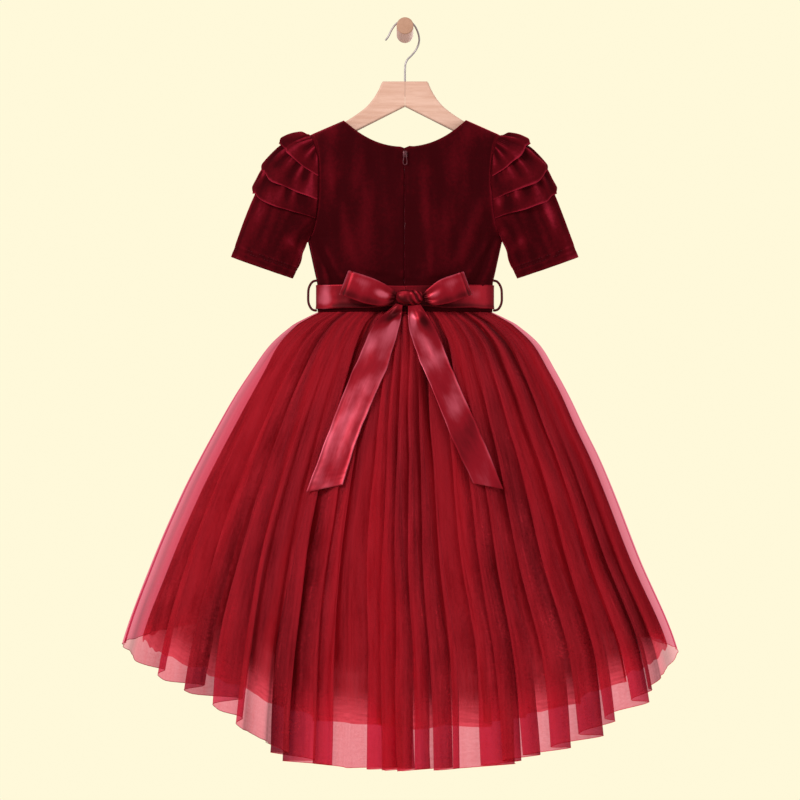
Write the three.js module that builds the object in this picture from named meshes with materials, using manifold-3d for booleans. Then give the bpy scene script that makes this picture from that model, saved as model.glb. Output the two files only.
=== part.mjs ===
// A toddler's party dress, its back turned to the viewer, on a wooden hanger that hangs on a wall peg.
// Millimetres, +Z up. The origin is the centre of the peg's back face, on the wall plane y = 0.
// The dress hangs on the -Y side of that plane: its front faces the wall (+Y) and its back faces -Y.
import * as THREE from "three";
import { mergeVertices } from "three/addons/utils/BufferGeometryUtils.js";
import Module from "manifold-3d";

const wasm = await Module();
wasm.setup();

// Driving sizes
const seamGap = 0.3; // between pieces that are sewn together
const hangPlaneY = -40; // the plane of the hanger and of the dress's side seams
const velvetThick = 1.5;
const tulleThick = 1;
const satinThick = 1;

const peg = { radius: 11.7, length: 70, edge: 1.5 };
const wire = { radius: 1.3, sides: 8, steps: 34 };
const hanger = { thick: 10, plateHalfWidth: 32, plateTopZ: -73, crotchZ: -108, tipX: 132, drillDepth: 22 };

const bodice = {
  neckX: 85, // where the neckline meets the shoulder seam
  neckZ: -128.5,
  backNeckZ: -167,
  frontNeckZ: -190,
  neckCurve: 2.2, // 2 is a parabola, more is flatter at the middle
  neckDepth: 24, // the neckline's middle, off the hang plane
  underarmZ: -292,
  chestHalfWidth: 135.5,
  waistHalfWidth: 121,
  aboveSashZ: -340,
  sashTopZ: -357,
  hemZ: -396,
  waistDepth: 30,
  chestDepth: 34,
};

const armhole = { tipX: 131, tipZ: -148, depth: 24, bow: 14 };

// Rings of the sleeve, from the armhole to the cuff: its top fold, its bottom fold and its half depth.
const sleeveRings = [
  { along: 0, outX: 131, outZ: -148, inX: 137.6, inZ: -292, depth: 24, bow: 14 },
  { along: 0.25, outX: 160, outZ: -162, inX: 140.5, inZ: -302, depth: 27, bow: 7 },
  { along: 0.5, outX: 188, outZ: -192, inX: 144.5, inZ: -313, depth: 25, bow: 3 },
  { along: 0.75, outX: 211, outZ: -237, inX: 148, inZ: -327, depth: 19, bow: 1 },
  { along: 1, outX: 242, outZ: -319, inX: 158, inZ: -348, depth: 13, bow: 0 },
];

// Frills of the sleeve head: where each starts and ends down the top fold, and how far round the armhole
// it is caught.
const frills = [
  { name: "1", from: 0.02, to: 0.31, fromAngle: 56, toAngle: 78, foldFlare: 13, faceFlare: 9 },
  { name: "2", from: 0.25, to: 0.57, fromAngle: 80, toAngle: 104, foldFlare: 6.5, faceFlare: 9 },
  { name: "3", from: 0.49, to: 0.765, fromAngle: 106, toAngle: 129, foldFlare: 2, faceFlare: 8 },
];
const frillStart = 0.012; // of a frill's ends, down the sleeve from the armhole
const frillLift = 2.2; // sewn edge of a frill above the sleeve's inner face
const frillWaves = 5; // waves across each frill
const frillWaveDepth = 3.4;

// Sections of the skirt's outer layer: how far the back and the front stand off the hang plane.
const skirtSections = [
  { drop: 0, halfWidth: 122.8, back: 31.8, front: 31.8, shift: 0 },
  { drop: 8, halfWidth: 139, back: 41, front: 32, shift: 0 },
  { drop: 18, halfWidth: 157, back: 50, front: 32, shift: 0 },
  { drop: 45, halfWidth: 187, back: 72, front: 32, shift: 0 },
  { drop: 82, halfWidth: 211, back: 92, front: 32, shift: -2 },
  { drop: 118, halfWidth: 232, back: 108, front: 32, shift: -4 },
  { drop: 160, halfWidth: 253.5, back: 124, front: 32, shift: -6 },
  { drop: 202, halfWidth: 275, back: 137, front: 32, shift: -7 },
  { drop: 250, halfWidth: 297, back: 149, front: 32, shift: -9 },
  { drop: 338, halfWidth: 333, back: 167, front: 32, shift: -11 },
  { drop: 458, halfWidth: 380, back: 184, front: 33, shift: -7 },
  { drop: 605, halfWidth: 406, back: 196, front: 33, shift: -5 },
];
const skirtTopZ = bodice.hemZ - seamGap;
const opening = { distance: 450, least: 0.1, power: 0.8 }; // how a fold opens out below the waist
const foldStart = 30; // a fold begins within this drop below the waist seam
const seamDeep = 6; // of the valley at each side seam

// Folds of the outer layer: where each valley meets the hem, as a share of the half width from the
// middle, and how deep it is there. The back's are as they hang, and the front's are these mirrored.
const outerFolds = [
  { at: -0.968, deep: 9 }, { at: -0.879, deep: 14 }, { at: -0.779, deep: 20 }, { at: -0.683, deep: 16 },
  { at: -0.569, deep: 21 }, { at: -0.505, deep: 14 }, { at: -0.42, deep: 19 }, { at: -0.32, deep: 21 },
  { at: -0.246, deep: 15 }, { at: -0.203, deep: 20 }, { at: -0.149, deep: 13 }, { at: -0.089, deep: 18 },
  { at: -0.036, deep: 20 }, { at: 0.018, deep: 12 }, { at: 0.075, deep: 19 }, { at: 0.128, deep: 16 },
  { at: 0.217, deep: 21 }, { at: 0.295, deep: 17 }, { at: 0.356, deep: 14 }, { at: 0.438, deep: 20 },
  { at: 0.537, deep: 18 }, { at: 0.63, deep: 21 }, { at: 0.74, deep: 19 }, { at: 0.815, deep: 15 },
  { at: 0.879, deep: 14 }, { at: 0.936, deep: 9 },
];

// Layers of the skirt, from the outside in. The tulle is cut longer behind than in front.
const skirtLayers = [
  { name: "tulle_outer", topInset: 0, hemInset: 0, everyFold: 1, foldShare: 1, columns: 3,
    thick: tulleThick, backHemZ: -1001, sideHemZ: -853, frontHemZ: -800,
    rows: [0, 0.035, 0.1, 0.24, 0.46, 0.72, 1] },
  { name: "tulle_inner", topInset: 1.9, hemInset: 27, everyFold: 2, foldShare: 0.42, columns: 3,
    thick: tulleThick, backHemZ: -948, sideHemZ: -830, frontHemZ: -782, rows: [0, 0.04, 0.14, 0.32, 0.6, 1] },
  { name: "lining", topInset: 3.9, hemInset: 44, everyFold: 3, foldShare: 0.42, columns: 3,
    thick: tulleThick, backHemZ: -884, sideHemZ: -800, frontHemZ: -765, rows: [0, 0.05, 0.2, 0.52, 1] },
];
// How the hem climbs from the middle to each side seam: its share of the climb, by share of the half width.
const hemClimb = [
  { at: 0, left: 0, right: 0 }, { at: 0.2, left: 0.03, right: 0.03 },
  { at: 0.35, left: 0.14, right: 0.11 }, { at: 0.5, left: 0.3, right: 0.23 },
  { at: 0.65, left: 0.54, right: 0.42 }, { at: 0.8, left: 0.7, right: 0.64 },
  { at: 0.9, left: 0.83, right: 0.8 }, { at: 1, left: 1, right: 1 },
];
const hemTilt = 4.5; // the right side hangs lower, and the left side higher
const insetDistance = 85; // how soon the layers part below the waist

const sash = { topZ: -358, bottomZ: -391.5, columns: 32, gapToBodice: 0.4 };
const bow = { frontY: -90, backY: -77.5 };
// Bow loops: the ribbon's middle line from the knot to the outer fold, its width there, and how far it opens.
const bowLoops = [
  { name: "bow_loop_left",
    stations: [
      { x: -14.2, z: -377.5, wide: 11, open: 3.2 }, { x: -26, z: -376, wide: 25, open: 5.8 },
      { x: -46, z: -369.5, wide: 33, open: 7.4 }, { x: -66, z: -362.5, wide: 33, open: 7.4 },
      { x: -84, z: -356.5, wide: 32, open: 6 },
    ], lean: 0.38 },
  { name: "bow_loop_right",
    stations: [
      { x: 26.1, z: -378, wide: 11, open: 3.2 }, { x: 36, z: -376.5, wide: 23, open: 5.8 },
      { x: 53, z: -369.5, wide: 32, open: 7.4 }, { x: 71, z: -363, wide: 32, open: 7.4 },
      { x: 87, z: -357.5, wide: 31, open: 6 },
    ], lean: -0.36 },
];
const knot = { x: 6, z: -377, halfWidth: 18.5, halfHeight: 11, backY: -73.6, frontY: -95 };
// Bow tails: the two edges of the ribbon from the knot down to its slanted end.
const bowTails = [
  { name: "bow_tail_left",
    stations: [
      { leftX: -12, leftZ: -385.6, rightX: -3.5, rightZ: -388.1 },
      { leftX: -41, leftZ: -413, rightX: -7, rightZ: -413 },
      { leftX: -61, leftZ: -456, rightX: -23, rightZ: -470 },
      { leftX: -83, leftZ: -509, rightX: -44, rightZ: -520 },
      { leftX: -107, leftZ: -574, rightX: -66, rightZ: -576 },
      { leftX: -131.7, leftZ: -641, rightX: -83, rightZ: -631 },
    ] },
  { name: "bow_tail_right",
    stations: [
      { leftX: 4, leftZ: -388.9, rightX: 21, rightZ: -386.9 },
      { leftX: 6, leftZ: -423, rightX: 39, rightZ: -416 },
      { leftX: 19, leftZ: -463, rightX: 58, rightZ: -463 },
      { leftX: 37, leftZ: -506, rightX: 77, rightZ: -510 },
      { leftX: 61, leftZ: -566, rightX: 102, rightZ: -566 },
      { leftX: 90, leftZ: -629, rightX: 130, rightZ: -637 },
    ] },
];
const tailLift = 1; // of a tail above the ridges of the skirt

const beltLoop = { radius: 1.7, topZ: -351, bottomZ: -393.8, reach: 13, sides: 8, steps: 14 };
const zip = { tapeHalfWidth: 8, tapeThick: 0.8, sliderZ: -178 };
const slider = {
  halfWidth: 3, height: 9, thick: 2.2,
  bridge: { length: 6.4, wide: 1.2, thick: 0.8, clear: 1.9, legOverlap: 0.4 },
};
const pull = { length: 16, halfWidth: 3.2, thick: 0.9, rim: 1 };

// Colours
const colours = {
  velvet: new THREE.MeshStandardMaterial({ color: 0x4a0814, roughness: 0.85 }),
  tulle: new THREE.MeshStandardMaterial({ color: 0xa01c2b, roughness: 0.8, transparent: true, opacity: 0.6 }),
  liningCloth: new THREE.MeshStandardMaterial({ color: 0x8a1018, roughness: 0.6 }),
  satin: new THREE.MeshStandardMaterial({ color: 0x9c1e33, roughness: 0.35 }),
  wood: new THREE.MeshStandardMaterial({ color: 0xe8b79c, roughness: 0.6 }),
  steel: new THREE.MeshStandardMaterial({ color: 0x9a8f92, roughness: 0.25, metalness: 1 }),
  zipMetal: new THREE.MeshStandardMaterial({ color: 0x7a2a35, roughness: 0.35, metalness: 0.6 }),
};

const mix = THREE.MathUtils.lerp;
const radians = THREE.MathUtils.degToRad;
const point = (x, y, z) => new THREE.Vector3(x, y, z);

// A column of a table at a place between its rows, smooth through them.
function tableAt(rows, key, place, column) {
  const last = rows.length - 1;
  if (place <= rows[0][key]) return rows[0][column];
  if (place >= rows[last][key]) return rows[last][column];
  const i = rows.findIndex((row, n) => n < last && place < rows[n + 1][key]);
  const [a, b] = [rows[i], rows[i + 1]];
  const span = b[key] - a[key];
  const slope = (n) => {
    const [before, after] = [rows[Math.max(n - 1, 0)], rows[Math.min(n + 1, last)]];
    return (after[column] - before[column]) / (after[key] - before[key]);
  };
  const t = (place - a[key]) / span;
  const [t2, t3] = [t * t, t * t * t];
  return (
    (2 * t3 - 3 * t2 + 1) * a[column] + (t3 - 2 * t2 + t) * span * slope(i) +
    (3 * t2 - 2 * t3) * b[column] + (t3 - t2) * span * slope(i + 1)
  );
}

// A cloth wall: a grid of points, and the same grid moved out by the thickness, closed round its edges.
// pointAt(u, v) gives a place on the inner face; across and down hold the u and v of the grid's lines.
// outward(normal, u, v) may correct the direction in which the wall gets its thickness.
function clothWall({ across, down, pointAt, thick, outward = (normal) => normal }) {
  const [columns, rows] = [across.length, down.length];
  const step = 1e-3;
  const positions = [];
  const skins = [0, thick].map((lift) => {
    const first = positions.length / 3;
    for (const v of down)
      for (const u of across) {
        const sideways = pointAt(u + step, v).sub(pointAt(u - step, v));
        const downwards = pointAt(u, v + step).sub(pointAt(u, v - step));
        const normal = outward(sideways.cross(downwards).normalize(), u, v);
        positions.push(...pointAt(u, v).addScaledVector(normal, lift).toArray());
      }
    return (row, column) => first + row * columns + column;
  });
  const [inner, outer] = skins;
  const faces = [];
  const quad = (a, b, c, d) => faces.push(a, b, c, a, c, d);
  for (let row = 0; row < rows - 1; row += 1)
    for (let column = 0; column < columns - 1; column += 1) {
      const corners = [[row, column], [row, column + 1], [row + 1, column + 1], [row + 1, column]];
      quad(...corners.map((corner) => outer(...corner)));
      quad(...corners.reverse().map((corner) => inner(...corner)));
    }
  const edge = [];
  for (let column = 0; column < columns - 1; column += 1) edge.push([0, column]);
  for (let row = 0; row < rows - 1; row += 1) edge.push([row, columns - 1]);
  for (let column = columns - 1; column > 0; column -= 1) edge.push([rows - 1, column]);
  for (let row = rows - 1; row > 0; row -= 1) edge.push([row, 0]);
  edge.forEach((here, i) => {
    const next = edge[(i + 1) % edge.length];
    quad(outer(...next), outer(...here), inner(...here), inner(...next));
  });
  const geometry = new THREE.BufferGeometry();
  geometry.setAttribute("position", new THREE.Float32BufferAttribute(positions, 3));
  geometry.setIndex(faces);
  return geometry;
}

// The same wall turned inside out where its grid runs the other way round.
function faceOut(geometry) {
  const index = geometry.index.array;
  const at = (i) => new THREE.Vector3().fromBufferAttribute(geometry.attributes.position, index[i]);
  let volume = 0;
  for (let i = 0; i < index.length; i += 3) volume += at(i).dot(at(i + 1).cross(at(i + 2)));
  if (volume >= 0) return geometry;
  for (let i = 0; i < index.length; i += 3) [index[i], index[i + 1]] = [index[i + 1], index[i]];
  return geometry;
}

const steps = (from, to, count) => Array.from({ length: count + 1 }, (_, i) => mix(from, to, i / count));

// Bodice panels. A panel's rows run from the middle (middle = 0) to the side seam or armhole (1), and rise
// from the waist (rise = 0) to the underarm (1) and on to the shoulder seam (2).
const sideSections = [
  { z: bodice.hemZ, halfWidth: bodice.waistHalfWidth, depth: bodice.waistDepth },
  { z: bodice.sashTopZ, halfWidth: bodice.waistHalfWidth + 0.5, depth: bodice.waistDepth },
  { z: bodice.aboveSashZ, halfWidth: bodice.waistHalfWidth + 4, depth: bodice.waistDepth + 1.5 },
  { z: bodice.underarmZ, halfWidth: bodice.chestHalfWidth, depth: bodice.chestDepth },
];

function armholePoint(angle) {
  const across = (1 - Math.cos(angle)) / 2;
  return {
    x: mix(armhole.tipX, bodice.chestHalfWidth, across) - armhole.bow * Math.sin(angle),
    z: mix(armhole.tipZ, bodice.underarmZ, across),
    depth: armhole.depth * Math.sin(angle),
  };
}

function bodicePoint(middle, rise, { neckZ, halfGap }) {
  let inner;
  let outer;
  if (rise <= 1) {
    const z = mix(bodice.hemZ, bodice.underarmZ, rise);
    const depth = tableAt(sideSections, "z", z, "depth");
    inner = { x: halfGap, z, depth };
    outer = { x: tableAt(sideSections, "z", z, "halfWidth"), z, depth: 0 };
  } else {
    const up = Math.min(rise - 1, 1);
    outer = armholePoint(Math.PI * (1 - up));
    outer.x -= seamGap + 0.4;
    if (up <= 0.5) {
      const t = up * 2;
      inner = {
        x: halfGap,
        z: mix(bodice.underarmZ, neckZ, t),
        depth: mix(bodice.chestDepth, bodice.neckDepth, t * t),
      };
    } else {
      const turn = Math.PI * (up - 0.5);
      const x = Math.max(bodice.neckX * Math.sin(turn), halfGap);
      inner = {
        x,
        z: mix(neckZ, bodice.neckZ, (x / bodice.neckX) ** bodice.neckCurve),
        depth: bodice.neckDepth * Math.max(Math.cos(turn), 0) ** 0.6,
      };
    }
  }
  const m = THREE.MathUtils.clamp(middle, 0, 1);
  const roundness = Math.sqrt(Math.max(1 - m * m, 0));
  return {
    x: mix(inner.x, outer.x, m),
    z: mix(inner.z, outer.z, m),
    depth: mix(outer.depth, inner.depth, roundness) + seamGap / 2,
  };
}

// One half of the bodice: face is -1 for the back and 1 for the front, and side is -1 left of the middle.
function bodiceHalf({ face, side, neckZ, halfGap }) {
  const middles = steps(0, Math.PI / 2, 8).map((turn) => Math.sin(turn));
  const rises = [0, 0.375, 0.54, 0.77, 1, 1.17, 1.34, 1.5, 1.6, 1.7, 1.8, 1.89, 1.955, 2];
  const neckRise = 1.5;
  const [sideMost, top] = [0.999, 1.999];
  return faceOut(
    clothWall({
      across: middles,
      down: rises,
      thick: velvetThick,
      pointAt: (m, rise) => {
        const p = bodicePoint(m, rise, { neckZ, halfGap });
        return point(side * p.x, hangPlaneY + face * p.depth, p.z);
      },
      outward: (normal, m, rise) => {
        const out = normal.multiplyScalar(Math.sign(normal.y * face) || 1);
        if (m < 0.001 && rise <= neckRise) return out.setX(0).normalize();
        if (rise <= 1 && m > sideMost) return point(side, 0, 0);
        if (rise > top) return point(side * 0.35, 0, 1).normalize();
        if (m > sideMost) return point(out.x * 0.2, face, out.z * 0.2).normalize();
        return out;
      },
    }),
  );
}

function bodiceFront() {
  const halves = [-1, 1].map((side) => bodiceHalf({ face: 1, side, neckZ: bodice.frontNeckZ, halfGap: 0 }));
  return geometryOf(halves.map(solidOf).reduce((whole, half) => whole.add(half)));
}

// The sleeve: along runs from the armhole (0) to the cuff (1), and angle from the top fold (0) over the
// back to the bottom fold (PI) or over the front (-PI). Its mirror image is the other sleeve.
function sleevePoint(along, angle) {
  const ring = (column) => tableAt(sleeveRings, "along", along, column);
  const across = (1 - Math.cos(angle)) / 2;
  return point(
    mix(ring("outX"), ring("inX"), across) - ring("bow") * Math.abs(Math.sin(angle)),
    hangPlaneY - ring("depth") * Math.sin(angle),
    mix(ring("outZ"), ring("inZ"), across),
  );
}

function sleeveNormal(along, angle) {
  const step = 1e-3;
  const armholeEdge = 0.01;
  const within = Math.max(along, step);
  const round = sleevePoint(within, angle + step).sub(sleevePoint(within, angle - step));
  const down = sleevePoint(within + step, angle).sub(sleevePoint(within - step, angle));
  const normal = round.cross(down);
  if (along < armholeEdge) normal.x = 0;
  normal.normalize();
  const middle = sleevePoint(within, 0).add(sleevePoint(within, Math.PI)).divideScalar(2);
  const outwards = sleevePoint(within, angle).sub(middle);
  return normal.dot(outwards) < 0 ? normal.negate() : normal;
}

function sleeve(side) {
  const around = 20;
  const cuffRows = [0.003, 0.14, 0.3, 0.47, 0.64, 0.82, 1];
  const angles = steps(0, 2 * Math.PI, around).slice(0, around);
  const positions = [];
  for (const lift of [0, velvetThick])
    for (const along of cuffRows)
      for (const angle of angles) {
        const p = sleevePoint(along, angle).addScaledVector(sleeveNormal(along, angle), lift);
        positions.push(side * p.x, p.y, p.z);
      }
  const at = (skin, row, column) => (skin * cuffRows.length + row) * around + (column % around);
  const faces = [];
  const quad = (a, b, c, d) => faces.push(a, b, c, a, c, d);
  const last = cuffRows.length - 1;
  for (let column = 0; column < around; column += 1) {
    const next = column + 1;
    for (let row = 0; row < last; row += 1) {
      quad(at(1, row, column), at(1, row, next), at(1, row + 1, next), at(1, row + 1, column));
      quad(at(0, row + 1, column), at(0, row + 1, next), at(0, row, next), at(0, row, column));
    }
    quad(at(0, 0, column), at(0, 0, next), at(1, 0, next), at(1, 0, column));
    quad(at(1, last, column), at(1, last, next), at(0, last, next), at(0, last, column));
  }
  const geometry = new THREE.BufferGeometry();
  geometry.setAttribute("position", new THREE.Float32BufferAttribute(positions, 3));
  geometry.setIndex(faces);
  return faceOut(geometry);
}

// A frill lies on the sleeve's own points, moved out: little at its sewn edge, more at its free one.
function frill(side, { from, to, fromAngle, toAngle, foldFlare, faceFlare }) {
  const alongAt = (u, v) => frillStart + mix(from, to, v) * (1 - Math.min(Math.abs(u), 1) ** 2.2);
  const pointAt = (u, v) => {
    const end = Math.min(Math.abs(u), 1);
    const angle = u * radians(mix(fromAngle, toAngle, v));
    const along = alongAt(u, v);
    const free = 1 - end ** 4;
    const offFold = Math.min(Math.abs(u) / 0.3, 1);
    const wave = (offFold * frillWaveDepth * (1 - Math.cos(frillWaves * Math.PI * u))) / 2;
    const flare = mix(foldFlare, faceFlare, offFold) - wave;
    const lift = frillLift + free * Math.max(v, 0) ** 1.2 * flare;
    const p = sleevePoint(along, angle).addScaledVector(sleeveNormal(along, angle), lift);
    return point(side * p.x, p.y, p.z);
  };
  const outward = (normal, u, v) => {
    const out = sleeveNormal(alongAt(u, v), u * radians(fromAngle));
    out.x *= side;
    return normal.dot(out) < 0 ? normal.negate() : normal;
  };
  return faceOut(
    clothWall({ across: steps(-1, 1, 20), down: [0, 0.35, 0.7, 1], thick: velvetThick, pointAt, outward }),
  );
}

// The skirt. turn is the way round the section: 0 is the middle of the back, and 90 degrees either way is
// a side seam.
function skirtBase(turn, z, inset) {
  const drop = skirtTopZ - z;
  const back = tableAt(skirtSections, "drop", drop, "back") - inset;
  const front = tableAt(skirtSections, "drop", drop, "front") - inset;
  const halfWidth = tableAt(skirtSections, "drop", drop, "halfWidth") - inset;
  const halfDepth = (back + front) / 2;
  const middleY = hangPlaneY - (back - front) / 2;
  const normal = point(halfDepth * Math.sin(turn), -halfWidth * Math.cos(turn), 0).normalize();
  const middleX = tableAt(skirtSections, "drop", drop, "shift");
  const place = point(middleX + halfWidth * Math.sin(turn), middleY - halfDepth * Math.cos(turn), z);
  return { place, normal };
}

function insetOf(layer, z) {
  const drop = skirtTopZ - z;
  return layer.topInset + (layer.hemInset - layer.topInset) * (1 - Math.exp(-drop / insetDistance));
}

function hemOf(layer, turn) {
  const climb = tableAt(hemClimb, "at", Math.abs(Math.sin(turn)), Math.sin(turn) < 0 ? "left" : "right");
  const middleZ = Math.cos(turn) > 0 ? layer.backHemZ : layer.frontHemZ;
  return mix(middleZ, layer.sideHemZ, climb) - hemTilt * Math.sin(turn);
}

// The valleys of one panel of a layer, as turns from its left side seam to its right one.
function valleysOf(layer, face) {
  const used = outerFolds.filter((fold, i) => i % layer.everyFold === 0);
  const back = used.map(({ at, deep }) => ({ turn: Math.asin(at), deep: deep * layer.foldShare }));
  const seam = (end) => ({ turn: (end * Math.PI) / 2, deep: seamDeep * layer.foldShare });
  const rows = [seam(-1), ...back, seam(1)];
  return face < 0 ? rows : rows.map(({ turn, deep }) => ({ turn: Math.PI - turn, deep }));
}

// place counts folds from the panel's first valley; the cloth stands out between valleys and goes in at them.
function foldedPoint(layer, valleys, place, share) {
  const i = Math.min(Math.max(Math.floor(place), 0), valleys.length - 2);
  const f = place - i;
  const turn = mix(valleys[i].turn, valleys[i + 1].turn, f);
  const z = mix(skirtTopZ, hemOf(layer, turn), share);
  const drop = skirtTopZ - z;
  const grown = (Math.max(drop, 0) / opening.distance) ** opening.power;
  const opened = opening.least + (1 - opening.least) * grown;
  const starts = THREE.MathUtils.smoothstep(drop, 0, foldStart);
  const valley = 1 - Math.sin(Math.PI * THREE.MathUtils.clamp(f, 0, 1)) ** 0.8;
  const deep = mix(valleys[i].deep, valleys[i + 1].deep, f) * Math.min(opened, 1) * starts * valley;
  const { place: p, normal } = skirtBase(turn, z, insetOf(layer, z));
  return p.addScaledVector(normal, -deep);
}

function skirtPanel(layer, face) {
  const valleys = valleysOf(layer, face);
  const folds = valleys.length - 1;
  const across = steps(0, folds, folds * layer.columns);
  const apart = (seamGap + 0.1) / 2;
  const last = across.length - 1;
  return faceOut(
    clothWall({
      across,
      down: layer.rows,
      thick: layer.thick,
      pointAt: (place, share) => {
        const p = foldedPoint(layer, valleys, place, Math.max(share, 0));
        if (place <= across[0] + 0.01 || place >= across[last] - 0.01) p.y += face * apart;
        return p;
      },
      outward: (normal, place, share) => {
        const turn = tableTurn(valleys, place);
        const out = skirtBase(turn, mix(skirtTopZ, hemOf(layer, turn), share), 0).normal;
        if (place < 0.01 || place > folds - 0.01) return point(Math.sign(out.x), 0, 0);
        return normal.multiplyScalar(Math.sign(normal.dot(out)) || 1).setZ(0).normalize();
      },
    }),
  );
}

function tableTurn(valleys, place) {
  const i = Math.min(Math.max(Math.floor(place), 0), valleys.length - 2);
  return mix(valleys[i].turn, valleys[i + 1].turn, place - i);
}

// The sash: a flat band round the waist, outside the bodice.
function sashBand() {
  const lift = velvetThick + sash.gapToBodice + seamGap / 2;
  const ring = (turn, z, out) => {
    const [halfWidth, depth] = [bodice.waistHalfWidth + 0.5, bodice.waistDepth];
    const normal = point(depth * Math.sin(turn), -halfWidth * Math.cos(turn), 0).normalize();
    const base = point(halfWidth * Math.sin(turn), hangPlaneY - depth * Math.cos(turn), z);
    return base.addScaledVector(normal, lift + out);
  };
  const profile = [[sash.topZ, 0], [sash.topZ, satinThick], [sash.bottomZ, satinThick], [sash.bottomZ, 0]];
  const positions = [];
  for (const turn of steps(0, 2 * Math.PI, sash.columns).slice(0, sash.columns))
    for (const [z, out] of profile) positions.push(...ring(turn, z, out).toArray());
  const faces = [];
  for (let column = 0; column < sash.columns; column += 1)
    for (let corner = 0; corner < profile.length; corner += 1) {
      const next = (column + 1) % sash.columns;
      const after = (corner + 1) % profile.length;
      const at = (c, k) => c * profile.length + k;
      faces.push(at(column, corner), at(next, corner), at(next, after));
      faces.push(at(column, corner), at(next, after), at(column, after));
    }
  const geometry = new THREE.BufferGeometry();
  geometry.setAttribute("position", new THREE.Float32BufferAttribute(positions, 3));
  geometry.setIndex(faces);
  return faceOut(geometry);
}

// A bow loop: the ribbon goes out from the knot behind and comes back in front.
function bowLoop({ stations, lean }) {
  const last = stations.length - 1;
  const rows = stations.map((station, i) => ({ place: i, ...station }));
  const at = (place, column) => tableAt(rows, "place", place, column);
  const middleY = (bow.frontY + bow.backY) / 2;
  const pointAt = (along, across) => {
    const inner = along < last ? along : 2 * last - along; // outwards behind, then back in front
    const place = THREE.MathUtils.clamp(inner, 0, last);
    const half = at(place, "wide") / 2;
    const open = at(place, "open") * Math.min(1, (last - place) * 2.2);
    const x = at(place, "x") - lean * across * half;
    return point(x, middleY + (along < last ? open : -open), at(place, "z") - across * half);
  };
  const along = [0, 0.5, 1, 1.5, 2, 3, 3.6, 4, 4.4, 5, 6, 6.5, 7, 7.5, 8].map((a) => (a / 8) * 2 * last);
  return faceOut(clothWall({ across: along, down: [-1, -0.33, 0.33, 1], thick: satinThick, pointAt }));
}

function bowKnot() {
  const shape = new THREE.SphereGeometry(1, 16, 10).rotateZ(Math.PI / 2);
  const depth = (knot.backY - knot.frontY) / 2;
  const middleY = (knot.backY + knot.frontY) / 2;
  const squarer = (value) => Math.sign(value) * Math.abs(value) ** 0.75;
  const position = shape.attributes.position;
  for (let i = 0; i < position.count; i += 1) {
    const [x, y, z] = [position.getX(i), position.getY(i), position.getZ(i)].map(squarer);
    position.setXYZ(i, knot.x + x * knot.halfWidth, middleY + y * depth, knot.z + z * knot.halfHeight);
  }
  return merged(shape);
}

// A bow tail lies on the ridges of the skirt's back: the skirt's own places, moved out.
function bowTail({ stations }) {
  const rows = stations.map((station, i) => ({ place: i, ...station }));
  const last = rows.length - 1;
  const at = (place, column) => tableAt(rows, "place", place, column);
  const onSkirt = (x, z, place) => {
    const lift = tailLift + tulleThick + 1.6 * Math.max(0, 1 - Math.abs(place - 1));
    const drop = Math.max(skirtTopZ - z, 0);
    const halfWidth = tableAt(skirtSections, "drop", drop, "halfWidth");
    const turn = Math.asin(THREE.MathUtils.clamp(x / halfWidth, -1, 1));
    return skirtBase(turn, Math.min(z, skirtTopZ), -lift).place.y;
  };
  const pointAt = (across, place) => {
    const x = mix(at(place, "leftX"), at(place, "rightX"), across);
    const z = mix(at(place, "leftZ"), at(place, "rightZ"), across);
    const atKnot = 1 - THREE.MathUtils.smoothstep(place, 0, 1.2);
    return point(x, mix(onSkirt(x, z, place), knot.frontY + 10, atKnot), z);
  };
  const places = [0, 0.35, 0.7, 1, 1.5, 2, 2.5, 3, 3.5, 4, 4.5, last];
  return faceOut(
    clothWall({
      across: [0, 0.33, 0.67, 1],
      down: places,
      thick: satinThick,
      pointAt,
      outward: (normal) => normal.multiplyScalar(normal.y > 0 ? -1 : 1),
    }),
  );
}

// A round bar along a curve, with closed ends.
function bar(points, radius, sides, count) {
  const angles = steps(0, 2 * Math.PI, sides).slice(0, sides);
  const rim = angles.map((a) => new THREE.Vector2(radius * Math.cos(a), radius * Math.sin(a)));
  const circle = new THREE.Shape(rim);
  const path = new THREE.CatmullRomCurve3(points, false, "centripetal");
  return new THREE.ExtrudeGeometry(circle, { extrudePath: path, steps: count, bevelEnabled: false });
}

function beltLoopBar(side) {
  const startX = bodice.waistHalfWidth + velvetThick + seamGap + beltLoop.radius + 0.6;
  const outX = bodice.waistHalfWidth + velvetThick + beltLoop.reach;
  const height = beltLoop.topZ - beltLoop.bottomZ;
  const route = [
    { out: 0, down: 0 }, { out: 0.55, down: 0.05 }, { out: 0.92, down: 0.24 },
    { out: 1, down: 0.5 }, { out: 0.95, down: 0.76 }, { out: 0.62, down: 0.95 }, { out: 0.1, down: 1 },
  ];
  const points = route.map(({ out, down }) =>
    point(side * mix(startX, outX, out), hangPlaneY, beltLoop.topZ - down * height),
  );
  return bar(points, beltLoop.radius, beltLoop.sides, beltLoop.steps);
}

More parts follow.
